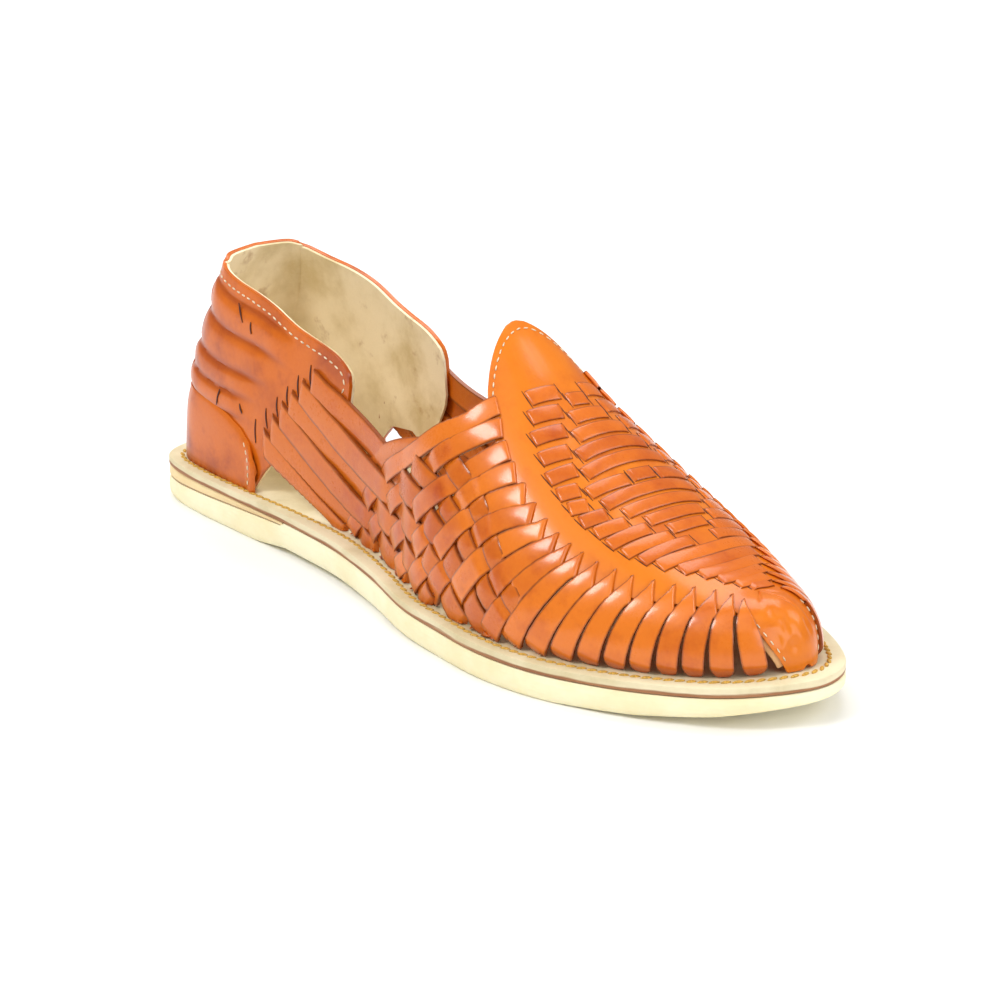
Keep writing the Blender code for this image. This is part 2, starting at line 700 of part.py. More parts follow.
def quarter():
    """The heel leather with its lining, from one front end round the heel to the other."""
    turns = column(QUARTER_COLUMNS, QUARTER_ROWS, "turn")
    turns = np.concatenate([-turns[:0:-1], turns])
    shares = [0.0]
    relief = [0.0]
    step = (BAND_HIGH - BAND_LOW) / HEEL_BANDS
    for band in range(HEEL_BANDS):
        low = BAND_LOW + band * step
        shares += [low, low + step * 0.5]
        relief += [0.0, STRIP_RELIEF]
    shares += [BAND_HIGH, 1.0]
    relief += [0.0, 0.0]
    shares, relief = np.array(shares), np.array(relief)
    low, rim = quarter_edge("lower", turns), quarter_edge("rim", turns)
    rises = low[:, None] + (rim - low)[:, None] * shares[None, :]
    fade = np.clip((BAND_END - np.abs(turns)) / 0.03 + 0.5, 0, 1)
    outer = fade[:, None] * relief[None, :]
    shape = bmesh.new()
    add_sheet(shape, turns, rises, -QUARTER_WALL, outer)
    return shape


COUNTER_COLUMNS = ("turn", "top")
COUNTER_ROWS = (
    (0.000, 0.140),
    (0.030, 0.140),
    (0.060, 0.140),
    (0.090, 0.140),
    (0.120, 0.140),
    (0.200, 0.138),
    (0.250, 0.124),
    (0.284, 0.090),
    (0.294, 0.060),
)


def make_counter(material, collection):
    """The smooth counter over the foot of the quarter."""
    turns = column(COUNTER_COLUMNS, COUNTER_ROWS, "turn")
    tops = column(COUNTER_COLUMNS, COUNTER_ROWS, "top")
    turns = np.concatenate([-turns[:0:-1], turns])
    tops = np.concatenate([tops[:0:-1], tops])
    rises = tops[:, None] * np.array([0.0, 0.33, 0.7, 1.0])[None, :]
    shape = bmesh.new()
    add_sheet(shape, turns, rises, SEAM_GAP, SEAM_GAP + COUNTER_WALL)
    return piece("heel_counter", shape, material, collection)


SLIVER = 0.00046           # edges shorter than this are drawn together


def closes_cleanly(edge):
    """Whether an edge can be drawn to a point with the surface still closed round it."""
    first, second = edge.verts
    beside = {e.other_vert(first) for e in first.link_edges}
    shared = beside & {e.other_vert(second) for e in second.link_edges}
    return len(shared) == 2 and len(edge.link_faces) == 2


def turns_no_face(edge, place):
    """Whether the faces round an edge keep their side when its ends move to a place."""
    for vert in edge.verts:
        for face in vert.link_faces:
            if edge in face.edges:
                continue
            corners = [place if v in edge.verts else v.co for v in face.verts]
            normal = (corners[1] - corners[0]).cross(corners[2] - corners[0])
            if normal.dot(face.normal) < 0.2 * normal.length:
                return False
    return True


def drop_crumbs(shape):
    """Removes the specks, hollow or solid, that are no part of the main wall."""
    left = set(shape.verts)
    walls = []
    while left:
        found, edge_of = set(), [left.pop()]
        while edge_of:
            vert = edge_of.pop()
            found.add(vert)
            beside = {e.other_vert(vert) for e in vert.link_edges} & left
            left -= beside
            edge_of += beside
        walls.append(found)
    walls.sort(key=len)
    specks = [vert for wall in walls[:-1] for vert in wall]
    bmesh.ops.delete(shape, geom=specks, context="VERTS")
    rims = [edge for edge in shape.edges if len(edge.link_faces) == 1]
    bmesh.ops.holes_fill(shape, edges=rims, sides=4)
    bmesh.ops.triangulate(shape, faces=shape.faces)


def without_slivers(mesh):
    """Draws together the short edges that the strips leave where they meet."""
    shape = bmesh.new()
    shape.from_mesh(mesh)
    bmesh.ops.triangulate(shape, faces=shape.faces)
    shape.normal_update()
    drawn = True
    while drawn:
        drawn = False
        short = sorted((e.calc_length(), e.index, e) for e in shape.edges
                       if e.calc_length() < SLIVER)
        for _, _, edge in short:
            if not edge.is_valid or edge.calc_length() >= SLIVER:
                continue
            place = (edge.verts[0].co + edge.verts[1].co) / 2
            if closes_cleanly(edge) and turns_no_face(edge, place):
                bmesh.ops.pointmerge(shape, verts=list(edge.verts), merge_co=place)
                drawn = True
        shape.normal_update()
        shape.edges.index_update()
    drop_crumbs(shape)
    shape.to_mesh(mesh)
    shape.free()


def make_upper(material, collection, helpers):
    upper = piece("upper", vamp_plate(), material, collection)
    joined(upper, helper("heel_quarter", quarter(), helpers))
    for group in weave_groups(helpers) + centre_weave(helpers):
        joined(upper, group)
    bpy.context.view_layer.update()
    graph = bpy.context.evaluated_depsgraph_get()
    woven = bpy.data.meshes.new_from_object(upper.evaluated_get(graph))
    upper.modifiers.clear()
    without_slivers(woven)
    upper.data = woven
    return upper


def centred(objects):
    """Moves the meshes so that the origin is on the floor under the sole's middle."""
    turns = np.linspace(0, 1, 200)
    across = [sole_edge(turns, medial)[:, 1] for medial in (False, True)]
    middle = (across[0].min() + across[1].max()) / 2
    for made in objects:
        made.data.transform(Matrix.Translation((-SOLE_LENGTH / 2, -middle, 0)))


def main():
    for old in list(bpy.data.objects):
        bpy.data.objects.remove(old)
    parts = bpy.data.collections.new("huarache_sandal")
    helpers = bpy.data.collections.new("strips_to_join")
    bpy.context.scene.collection.children.link(parts)
    bpy.context.scene.collection.children.link(helpers)
    orange = leather("orange_leather", (0.62, 0.21, 0.035), 0.32)
    pale = leather("insole_leather", (0.62, 0.50, 0.32), 0.7)
    cream = leather("crepe_rubber", (0.83, 0.74, 0.50), 0.75)
    lift = leather("wedge_rubber", (0.80, 0.66, 0.44), 0.75)
    made = [
        make_outsole(cream, parts),
        make_wedge(lift, parts),
        make_insole(pale, parts),
        make_upper(orange, parts, helpers),
        make_counter(orange, parts),
    ]
    centred(made + list(helpers.objects))


main()
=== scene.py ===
import math

import bpy
import numpy as np
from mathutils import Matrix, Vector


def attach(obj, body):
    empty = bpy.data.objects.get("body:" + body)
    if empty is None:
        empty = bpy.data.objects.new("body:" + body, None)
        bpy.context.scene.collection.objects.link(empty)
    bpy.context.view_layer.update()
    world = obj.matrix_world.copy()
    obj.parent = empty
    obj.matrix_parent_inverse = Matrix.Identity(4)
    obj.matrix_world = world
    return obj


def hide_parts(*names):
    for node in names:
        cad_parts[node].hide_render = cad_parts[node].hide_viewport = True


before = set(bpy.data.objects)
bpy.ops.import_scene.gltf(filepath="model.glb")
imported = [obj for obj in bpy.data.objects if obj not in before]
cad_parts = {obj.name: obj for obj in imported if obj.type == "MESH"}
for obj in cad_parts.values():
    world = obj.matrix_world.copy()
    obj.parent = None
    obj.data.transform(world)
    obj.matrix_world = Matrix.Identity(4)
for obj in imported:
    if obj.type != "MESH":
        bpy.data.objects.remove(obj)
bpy.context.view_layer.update()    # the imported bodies, which every piece below rides on
rng = np.random.default_rng(7)
print("frame loaded")

# the last, in the shoe's own sizes
last = {
    "soleLength": 0.288,
    "ballWidth": 0.098,
    "heelHeight": 0.0146,
    "forefootHeight": 0.0116,
    "toeSpring": 0.007,
    "archRise": 0.002,
    "insole": 0.0032,
    "wedge": 0.0045,
    "wedgeTip": 0.0011,
    "wedgeEnd": 0.27,        # share of the length
    "instepRise": 0.112,
    "weltMargin": 0.006,
    "heelLean": 0.0095,
    "heelCentre": 0.118,
    "toeCentre": 0.910,
    "softness": 0.028,
}
# along, lateral and medial in ball widths, welt in margins, ridge in instep rises, fullness
lastRows = np.array([
    (0.000, 0.000, 0.000, 0.85, 1.000, 2.00),
    (0.004, -0.163, 0.163, 1.08, 1.000, 2.00),
    (0.017, -0.255, 0.255, 1.33, 1.000, 2.00),
    (0.045, -0.301, 0.301, 1.08, 1.000, 2.00),
    (0.097, -0.323, 0.323, 0.97, 1.000, 2.00),
    (0.191, -0.332, 0.327, 0.92, 0.982, 2.00),
    (0.295, -0.342, 0.311, 1.20, 0.920, 2.00),
    (0.382, -0.367, 0.306, 1.40, 0.857, 2.00),
    (0.469, -0.423, 0.337, 1.20, 0.795, 2.00),
    (0.549, -0.490, 0.398, 1.06, 0.714, 2.05),
    (0.608, -0.510, 0.439, 1.02, 0.589, 2.10),
    (0.677, -0.526, 0.469, 1.00, 0.478, 2.15),
    (0.747, -0.505, 0.474, 1.00, 0.371, 2.25),
    (0.826, -0.429, 0.439, 1.08, 0.268, 2.40),
    (0.896, -0.327, 0.357, 1.17, 0.201, 2.50),
    (0.951, -0.214, 0.265, 1.25, 0.156, 2.60),
    (0.986, -0.077, 0.173, 1.33, 0.134, 2.60),
    (1.000, 0.056, 0.056, 1.33, 0.134, 2.60),
])
lateralColumn, medialColumn, weltColumn, ridgeColumn, fullnessColumn = 1, 2, 3, 4, 5


def smoothThrough(xs, ys, x):
    xs, ys, x = np.asarray(xs, float), np.asarray(ys, float), np.asarray(x, float)
    gaps = np.diff(xs)
    slopes = np.diff(ys) / gaps
    tangents = np.empty_like(ys)
    tangents[1:-1] = (slopes[:-1] * gaps[1:] + slopes[1:] * gaps[:-1]) / (gaps[1:] + gaps[:-1])
    tangents[0], tangents[-1] = slopes[0], slopes[-1]
    k = np.clip(np.searchsorted(xs, x) - 1, 0, len(xs) - 2)
    t = (x - xs[k]) / gaps[k]
    low = (2 * t**3 - 3 * t**2 + 1) * ys[k] + (t**3 - 2 * t**2 + t) * gaps[k] * tangents[k]
    high = (3 * t**2 - 2 * t**3) * ys[k + 1] + (t**3 - t**2) * gaps[k] * tangents[k + 1]
    return low + high


def easeThrough(xs, ys, x, hold=1.5):
    # level at each mark, with a quick smooth change between marks
    xs, ys, x = np.asarray(xs, float), np.asarray(ys, float), np.asarray(x, float)
    k = np.clip(np.searchsorted(xs, x) - 1, 0, len(xs) - 2)
    t = np.clip(((x - xs[k]) / (xs[k + 1] - xs[k]) - 0.5) * hold + 0.5, 0, 1)
    return ys[k] + (ys[k + 1] - ys[k]) * t * t * (3 - 2 * t)


def turnOf(along):
    return np.arccos(np.clip(1 - 2 * np.asarray(along, float), -1, 1)) / math.pi


def alongOf(turn):
    return (1 - np.cos(math.pi * np.asarray(turn, float))) / 2


rowTurns = turnOf(lastRows[:, 0])


def lastValue(column, turn):
    return smoothThrough(rowTurns, lastRows[:, column], turn)


def soleEdge(turn, column):
    return np.stack([alongOf(turn) * last["soleLength"], lastValue(column, turn) * last["ballWidth"]], -1)


def insetEdge(turn, column, inset):
    turn = np.asarray(turn, float)
    run = soleEdge(np.clip(turn + 1e-3, 0, 1), column) - soleEdge(np.clip(turn - 1e-3, 0, 1), column)
    run /= np.linalg.norm(run, axis=-1, keepdims=True)
    inward = np.stack([-run[..., 1], run[..., 0]], -1) * (-1 if column == medialColumn else 1)
    return soleEdge(turn, column) + inward * np.asarray(inset)[..., None]


def insoleTop(along):
    stations = (0.0, 0.14, 0.26, 0.42, 0.57, 0.69, 0.82, 0.91, 1.0)
    drops = np.array((1.0, 1.0, 1.0, 0.8, 0.2, 0.0, 0.0, 0.0, 0.0))
    lifts = np.array((0.0, 0.0, 0.0, 0.0, 0.0, 0.0, 0.03, 0.17, 0.457))
    drop = last["heelHeight"] - last["forefootHeight"]
    return smoothThrough(stations, last["forefootHeight"] + drop * drops + last["toeSpring"] * lifts, along)


def treadHeight(along):
    stations = (0.0, 0.215, 0.271, 0.382, 0.52, 0.608, 0.781, 0.868, 0.938, 1.0)
    arch = np.array((0, 0, 1, 1, 0.4, 0, 0, 0, 0, 0)) * last["archRise"]
    spring = np.array((0, 0, 0, 0, 0, 0, 0, 0.17, 0.514, 1)) * last["toeSpring"]
    return np.interp(along, stations, arch + spring)


def wedgeThickness(along):
    share = np.clip(np.asarray(along, float) / last["wedgeEnd"], 0, 1)
    return last["wedge"] + (last["wedgeTip"] - last["wedge"]) * share


def centreAcross(along):
    shares = np.array((0.0, 0.0, -0.015, -0.010, 0.020, 0.061))
    return smoothThrough((0.0, 0.21, 0.45, 0.69, 0.87, 1.0), shares * last["ballWidth"], along)


def softClip(value, low, high, softness):
    value = low + 0.5 * ((value - low) + np.sqrt((value - low) ** 2 + softness**2))
    return high - 0.5 * ((high - value) + np.sqrt((high - value) ** 2 + softness**2))


allTurns = np.linspace(0, 1, 200)
middleAcross = (soleEdge(allTurns, lateralColumn)[:, 1].min() + soleEdge(allTurns, medialColumn)[:, 1].max()) / 2


def placed(points):
    return points + np.array((-last["soleLength"] / 2, -middleAcross, 0.0))


def onLast(turn, rise):
    # turn: heel 0 to toe 1, round the ends past either. rise: lateral feather 0, ridge 1, medial feather 2
    turn, rise = np.broadcast_arrays(np.asarray(turn, float), np.asarray(rise, float))
    past = (turn < 0) | (turn > 1)
    rise = np.where(past, 2 - rise, rise)
    turn = np.where(turn < 0, -turn, np.where(turn > 1, 2 - turn, turn))
    medial = rise > 1
    angle = np.where(medial, 2 - rise, rise) * math.pi / 2
    welt = lastValue(weltColumn, turn) * last["weltMargin"]
    foot = np.where(medial[..., None], insetEdge(turn, medialColumn, welt), insetEdge(turn, lateralColumn, welt))
    along = alongOf(turn)
    middle = softClip(along, last["heelCentre"], last["toeCentre"], last["softness"])
    centre = np.stack([middle * last["soleLength"], centreAcross(middle)], -1)
    power = 2 / lastValue(fullnessColumn, turn)
    inwards = 1 - np.maximum(np.cos(angle), 0) ** power
    upwards = np.maximum(np.sin(angle), 0) ** power
    top = insoleTop(middle) + lastValue(ridgeColumn, turnOf(middle)) * last["instepRise"]
    base = insoleTop(along)
    height = base + (top - base) * upwards
    plan = foot + (centre - foot) * inwards[..., None]
    shares = (0.0, 0.105, 0.21, 0.58, 0.895, 1.0, 1.0)
    fade = np.clip((0.40 - along) / 0.26, 0, 1)
    forward = last["heelLean"] * smoothThrough((0.0, 0.020, 0.032, 0.045, 0.056, 0.066, 0.2), shares, height - base)
    forward = forward * fade**2 * (3 - 2 * fade)
    return placed(np.stack([plan[..., 0] + forward, plan[..., 1], height], -1))


def slopesOnLast(turn, rise, step=2e-3):
    byTurn = (onLast(turn + step, rise) - onLast(turn - step, rise)) / (2 * step)
    byRise = (onLast(turn, rise + step) - onLast(turn, rise - step)) / (2 * step)
    return byTurn, byRise


def outward(turn, rise):
    turn, rise = np.broadcast_arrays(np.asarray(turn, float), np.asarray(rise, float))
    rise = np.where(np.abs(rise) < 0.01, 0.01, rise)
    near = np.abs(rise - 1) < 0.03
    normal = 0
    for shifted in (np.where(near, 0.97, rise), np.where(near, 1.03, rise)):
        byTurn, byRise = slopesOnLast(turn, shifted)
        side = np.cross(byTurn, byRise)
        normal = normal + side / np.linalg.norm(side, axis=-1, keepdims=True)
    return normal / np.linalg.norm(normal, axis=-1, keepdims=True)


def offLast(turn, rise, lift):
    points = onLast(turn, rise) + outward(turn, rise) * np.asarray(lift)[..., None]
    along = np.clip(points[..., 0] / last["soleLength"] + 0.5, 0, 1)
    points[..., 2] = np.maximum(points[..., 2], insoleTop(along) + 0.0001)
    return points


def sideways(path, reach):
    turn, rise = path[:, 0], path[:, 1]
    byTurn, byRise = slopesOnLast(turn, rise)
    side = np.cross(outward(turn, rise), np.gradient(onLast(turn, rise), axis=0))
    side /= np.linalg.norm(side, axis=-1, keepdims=True)
    side *= np.asarray(reach).reshape(-1, 1)
    a, b, c = (byTurn * byTurn).sum(-1), (byTurn * byRise).sum(-1), (byRise * byRise).sum(-1)
    p, q = (byTurn * side).sum(-1), (byRise * side).sum(-1)
    return path + np.stack([(c * p - b * q) / (a * c - b * b), (a * q - b * p) / (a * c - b * b)], -1)


def alongPath(path, shares):
    own = np.linspace(0, 1, len(path))
    return np.stack([np.interp(shares, own, path[:, i]) for i in (0, 1)], -1)


def curveThrough(points, count=40):
    points = np.array(points, float)
    own = np.linspace(0, 1, len(points))
    at = np.linspace(0, 1, count)
    return np.stack([smoothThrough(own, points[:, i], at) for i in (0, 1)], -1)


def mirrored(path):
    return np.stack([path[:, 0], 2 - path[:, 1]], -1)


def spaced(start, *parts):
    # values from start on; each part has its end and the number of values up to it
    runs = []
    for end, count in parts:
        runs.append(np.linspace(start, end, count)[:-1])
        start = end
    return np.concatenate(runs + [[start]])


# making pieces
def deselectAll():
    bpy.ops.object.select_all(action="DESELECT")


def layGrid(name, points, toneAndShade=0.0):
    # a plane grid, then each of its points goes to its own place on the last
    deselectAll()
    across, up = points.shape[0] - 1, points.shape[1] - 1
    bpy.ops.mesh.primitive_grid_add(x_subdivisions=across, y_subdivisions=up, size=1, location=(0, 0, 0))
    piece = bpy.context.active_object
    piece.name = piece.data.name = name
    flat = np.empty(len(piece.data.vertices) * 3)
    piece.data.vertices.foreach_get("co", flat)
    flat = flat.reshape(-1, 3)
    i = np.rint((flat[:, 0] + 0.5) * across).astype(int)
    j = np.rint((flat[:, 1] + 0.5) * up).astype(int)
    piece.data.vertices.foreach_set("co", points[i, j].ravel())
    # this attribute holds random tone and painted shade: darker over-square middles and heel crease shade
    shade = piece.data.attributes.new("toneAndShade", "FLOAT", "POINT")
    shade.data.foreach_set("value", np.broadcast_to(toneAndShade, points.shape[:2])[i, j].astype(np.float32))
    piece.data.update()
    return piece


def joinPieces(name, pieces):
    deselectAll()
    for piece in pieces:
        piece.select_set(True)
    bpy.context.view_layer.objects.active = pieces[0]
    bpy.ops.object.join()
    pieces[0].name = pieces[0].data.name = name
    return pieces[0]


def applyModifier(piece, kind, **values):
    deselectAll()
    piece.select_set(True)
    bpy.context.view_layer.objects.active = piece
    modifier = piece.modifiers.new(kind.lower(), kind)
    for key, value in values.items():
        setattr(modifier, key, value)
    bpy.ops.object.modifier_apply(modifier=modifier.name)


def finishLeather(piece, thickness, corner=0.0003, segments=2):
    applyModifier(piece, "SOLIDIFY", thickness=thickness, offset=-1, use_even_offset=False, material_offset=1)
    if corner:
        applyModifier(piece, "BEVEL", width=corner, segments=segments, limit_method="ANGLE",
                      angle_limit=math.radians(50), use_clamp_overlap=True)
    smoothAll(piece)


def smoothAll(piece, angle=50):
    deselectAll()
    piece.select_set(True)
    bpy.context.view_layer.objects.active = piece
    bpy.ops.object.shade_smooth_by_angle(angle=math.radians(angle))


def closeUp(piece, distance=2e-5):
    deselectAll()
    piece.select_set(True)
    bpy.context.view_layer.objects.active = piece
    bpy.ops.object.mode_set(mode="EDIT")
    bpy.ops.mesh.select_all(action="SELECT")
    bpy.ops.mesh.remove_doubles(threshold=distance)
    bpy.ops.mesh.normals_make_consistent(inside=False)
    bpy.ops.object.mode_set(mode="OBJECT")


def addRibbon(name, path, width, lift, stations=None, across=6, dome=0.00025, startCut=0.0, endCut=0.0, toneAndShade=0.0):
    # a strip laid on the last; width and lift follow the stations, the cuts slant its ends
    stations = np.linspace(0, 1, 40) if stations is None else stations
    width = np.broadcast_to(width, stations.shape)
    lift = np.broadcast_to(lift, stations.shape)
    rows = []
    for v in np.linspace(0, 1, across + 1):
        start = abs(startCut) * (v if startCut > 0 else 1 - v)
        end = 1 - abs(endCut) * (v if endCut > 0 else 1 - v)
        run = alongPath(path, start + (end - start) * stations)
        edge = sideways(run, width * (v - 0.5))
        crown = dome * (1 - (2 * v - 1) ** 2)
        rows.append(offLast(edge[:, 0], edge[:, 1], lift + crown))
    return layGrid(name, np.stack(rows, 1), toneAndShade)


# sole
def slabRing(turns, profile):
    # one closed ring of points at each turn: up the lateral side, across, down the medial side
    along = alongOf(turns)
    rings = []
    for column, order in ((lateralColumn, profile), (medialColumn, profile[::-1])):
        for inset, height in order:
            edge = insetEdge(turns, column, np.full(len(turns), inset))
            rings.append(np.column_stack([edge, height(along)]))
    rings.append(rings[0])
    return placed(np.stack(rings, 1))


def makeSlab(name, turns, profile, replaced):
    piece = layGrid(name, slabRing(turns, profile))
    side = len(profile)
    layer = piece.data.uv_layers.active.data
    for loop in piece.data.loops:    # v is 0 to 1 up the lateral side and back down the medial one
        u, v = layer[loop.index].uv
        step = v * (2 * side)
        v = step if step <= side - 1 else (side - 1 if step < side else 2 * side - 1 - step)
        layer[loop.index].uv = (u, max(v, 0.0) / (side - 1))
    closeUp(piece)
    smoothAll(piece, 40)
    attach(piece, "root")
    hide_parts(replaced)
    return piece


def insoleUnder(along):
    return insoleTop(along) - last["insole"]


def outsoleTop(along):
    fade = np.clip((last["wedgeEnd"] - along) / 0.004, 0, 1)
    return insoleUnder(along) - 0.0002 - fade * (wedgeThickness(along) + 0.0002)


def between(low, high, share):
    return lambda along: low(along) + (high(along) - low(along)) * share


sole = {"stations": 170, "insoleRound": 0.0006}
soleTurns = np.linspace(0, 1, sole["stations"])
r = sole["insoleRound"]
insole = makeSlab("footbed", soleTurns, [
    (r, insoleUnder), (0.0001, lambda a: insoleUnder(a) + r * 0.4), (0.0, lambda a: insoleUnder(a) + r),
    (0.0, between(insoleUnder, insoleTop, 0.5)), (0.0, lambda a: insoleTop(a) - r),
    (r * 0.3, lambda a: insoleTop(a) - r * 0.3), (r, insoleTop), (0.003, insoleTop)], "insole")
wedgeTurns = np.linspace(0, float(turnOf(last["wedgeEnd"])), 60)
wedge = makeSlab("heelLift", wedgeTurns, [
    (0.0006, lambda a: insoleUnder(a) - 0.0002 - wedgeThickness(a)),
    (0.0002, between(lambda a: insoleUnder(a) - wedgeThickness(a), insoleUnder, 0.2)),
    (0.0002, between(lambda a: insoleUnder(a) - wedgeThickness(a), insoleUnder, 0.8)),
    (0.0006, lambda a: insoleUnder(a) - 0.0001)], "heel_wedge")
outsole = makeSlab("crepeSole", soleTurns, [
    (0.0018, treadHeight), (0.0009, lambda a: treadHeight(a) + 0.0003), (0.0004, lambda a: treadHeight(a) + 0.0010),
    (0.0, between(treadHeight, outsoleTop, 0.35)), (-0.0001, between(treadHeight, outsoleTop, 0.6)),
    (0.0, between(treadHeight, outsoleTop, 0.9)), (0.0004, outsoleTop)], "outsole")
print("sole layers made")


# vamp: tongue, side bands and toe in one leather
vamp = {"wall": 0.0018, "across": 68, "corner": 0.0005}
# turn, outer edge and inner edge on the chart
bandRows = np.array([
    (0.529, 0.950), (0.536, 0.838), (0.545, 0.740), (0.553, 0.680), (0.562, 0.640), (0.584, 0.580), (0.612, 0.490),
    (0.638, 0.430), (0.676, 0.400), (0.708, 0.420), (0.740, 0.480), (0.772, 0.560), (0.800, 0.620), (0.830, 0.640),
    (0.862, 0.600), (0.890, 0.420), (0.915, 0.180), (0.935, 0.020), (1.000, 0.020),
])


# turn and rise of a crease's middle, its reach in turn and rise, and its depth
capCreases = (
    (0.900, 0.95, 0.010, 0.16, 0.00045), (0.926, 0.62, 0.012, 0.10, 0.000525), (0.944, 0.44, 0.010, 0.14, 0.0006),
    (0.958, 0.20, 0.016, 0.09, 0.000675), (0.925, 0.28, 0.008, 0.08, 0.00045), (0.952, 1.20, 0.012, 0.14, 0.00045),
    (0.965, 1.62, 0.014, 0.10, 0.0006), (0.930, 1.55, 0.009, 0.12, 0.00045), (0.880, 1.10, 0.008, 0.12, 0.0003),
)


def bandOuter(turn):
    return np.clip(smoothThrough(bandRows[:, 0], bandRows[:, 1], turn), 0, 1)


def capWrinkles(turn, rise):
    # small soft creases pressed into the toe
    return sum(-depth * np.exp(-((turn - t) / a) ** 2 - ((rise - r) / b) ** 2) for t, r, a, b, depth in capCreases)


def makeVamp():
    turns = spaced(0.5285, (0.545, 16), (0.935, 74), (1.0, 22))
    low = bandOuter(turns)
    low[turns < 0.529] = 0.985
    share = np.linspace(0, 1, vamp["across"] + 1)
    # each row runs from the lateral edge over the ridge to the medial edge
    rises = low[:, None] + (2 - 2 * low[:, None]) * share[None, :]
    grid = np.broadcast_to(turns[:, None], rises.shape)
    return layGrid("vampLeather", offLast(grid, rises, capWrinkles(grid, rises)))


vampPiece = makeVamp()
closeUp(vampPiece, 1e-5)
finishLeather(vampPiece, vamp["wall"], vamp["corner"], 3)
print("vamp made")

# strips fanned from the insole to the bands
fan = {"thickness": 0.0013, "relief": 0.0011, "swing": 0.00072, "tuck": 0.0017, "foot": 0.0030, "top": 0.0016,
       "endLift": 0.00045, "dome": 0.00020}
# the slanting cut at a strip's end, from the first strips to the rest
fanSlants = ((0, 4, 6, 8, 18), (0.0004, 0.0004, 0.0034, 0.0062, 0.0080))
fanWidths = ((0, 4, 8), (0.0066, 0.0080, 0.0098))
# each strip from its foot on the insole to its end on the band
fanRows = (
    ((0.414, 0.0), (0.457, 0.175), (0.511, 0.350), (0.546, 0.525), (0.562, 0.705)),
    ((0.436, 0.0), (0.481, 0.165), (0.526, 0.330), (0.553, 0.495), (0.573, 0.665)),
    ((0.460, 0.0), (0.508, 0.156), (0.545, 0.312), (0.569, 0.468), (0.586, 0.630)),
    ((0.487, 0.0), (0.531, 0.146), (0.559, 0.292), (0.579, 0.438), (0.600, 0.592)),
    ((0.514, 0.0), (0.549, 0.139), (0.571, 0.278), (0.592, 0.416), (0.616, 0.560)),
    ((0.541, 0.0), (0.566, 0.132), (0.586, 0.265), (0.606, 0.397), (0.631, 0.533)),
    ((0.566, 0.0), (0.586, 0.130), (0.606, 0.263), (0.627, 0.395), (0.646, 0.527)),
    ((0.593, 0.0), (0.629, 0.263), (0.660, 0.523)), ((0.618, 0.0), (0.647, 0.263), (0.673, 0.526)),
    ((0.641, 0.0), (0.665, 0.265), (0.686, 0.530)), ((0.665, 0.0), (0.685, 0.268), (0.701, 0.536)),
    ((0.690, 0.0), (0.704, 0.278), (0.717, 0.556)), ((0.714, 0.0), (0.732, 0.583)), ((0.738, 0.0), (0.750, 0.628)),
    ((0.762, 0.0), (0.767, 0.678)), ((0.788, 0.0), (0.784, 0.738)), ((0.815, 0.0), (0.806, 0.800)),
    ((0.849, 0.0), (0.832, 0.840)), ((0.892, 0.0), (0.864, 0.822)),
)
strap = {"width": 0.0086, "thickness": 0.0013, "loopWidth": 0.0066, "cornerWidth": 0.0058, "slant": 0.0030,
         "start": 0.0030, "foot": 0.0024, "lift": 0.0006, "startDrop": 0.0014, "dome": 0.00024, "cornerDome": 0.0004}
strapRows = (
    # turn and rise at the slit, at the weave's edge, in the weave and at the foot
    ((0.350, 0.292), (0.462, 0.232), (0.510, 0.226), (0.558, 0.192), (0.622, 0.0)),
    ((0.337, 0.258), (0.448, 0.172), (0.496, 0.162), (0.540, 0.128), (0.588, 0.0)),
    ((0.325, 0.226), (0.434, 0.121), (0.474, 0.104), (0.512, 0.075), (0.548, 0.0)),
    ((0.313, 0.194), (0.424, 0.075), (0.448, 0.060), (0.476, 0.036), (0.506, 0.0)),
    ((0.301, 0.160), (0.398, 0.044), (0.418, 0.028), (0.434, 0.014), (0.452, 0.0)),
    ((0.290, 0.122), (0.372, 0.040), (0.388, 0.024), (0.398, 0.012), (0.408, 0.0)),
)
strapMarks = (0.0, 0.46, 0.62, 0.78, 1.0)
loopRows = (
    ((0.500, 0.302), (0.546, 0.300), (0.578, 0.262), (0.622, 0.120), (0.645, 0.045)),
    ((0.538, 0.405), (0.566, 0.408), (0.590, 0.372), (0.628, 0.235), (0.650, 0.140)),
)
cornerLoop = ((0.424, 0.150), (0.441, 0.202), (0.466, 0.262), (0.492, 0.318), (0.514, 0.362))


def strapPath(row, count=60):
    points = np.array(row)
    at = np.linspace(0, 1, count)
    return np.stack([smoothThrough(strapMarks, points[:, i], at) for i in (0, 1)], -1)


def crossing(first, second):
    a, b = first[:-1, None], first[1:, None]
    c, d = second[None, :-1], second[None, 1:]
    r, s, q = b - a, d - c, c - a
    area = r[..., 0] * s[..., 1] - r[..., 1] * s[..., 0]
    area = np.where(np.abs(area) < 1e-12, 1e-12, area)
    t = (q[..., 0] * s[..., 1] - q[..., 1] * s[..., 0]) / area
    u = (q[..., 0] * r[..., 1] - q[..., 1] * r[..., 0]) / area
    hits = np.argwhere((t >= 0) & (t <= 1) & (u >= 0) & (u <= 1))
    if not len(hits):
        return None
    i, j = hits[0]
    return (i + t[i, j]) / (len(first) - 1), (j + u[i, j]) / (len(second) - 1)


def clearWidth(path, neighbour, shares):
    # room to the next strip, square to this one
    here, there = onLast(*alongPath(path, shares).T), onLast(*neighbour.T)
    run = np.gradient(here, axis=0)
    run /= np.linalg.norm(run, axis=-1, keepdims=True)
    apart = there[None, :, :] - here[:, None, :]
    onward = (apart * run[:, None, :]).sum(-1, keepdims=True)
    square = np.linalg.norm(apart - onward * run[:, None, :], axis=-1) + np.abs(onward[..., 0])
    return np.min(square, axis=1)


def lengthOf(path):
    return np.linalg.norm(np.diff(onLast(*path.T), axis=0), axis=-1).sum()


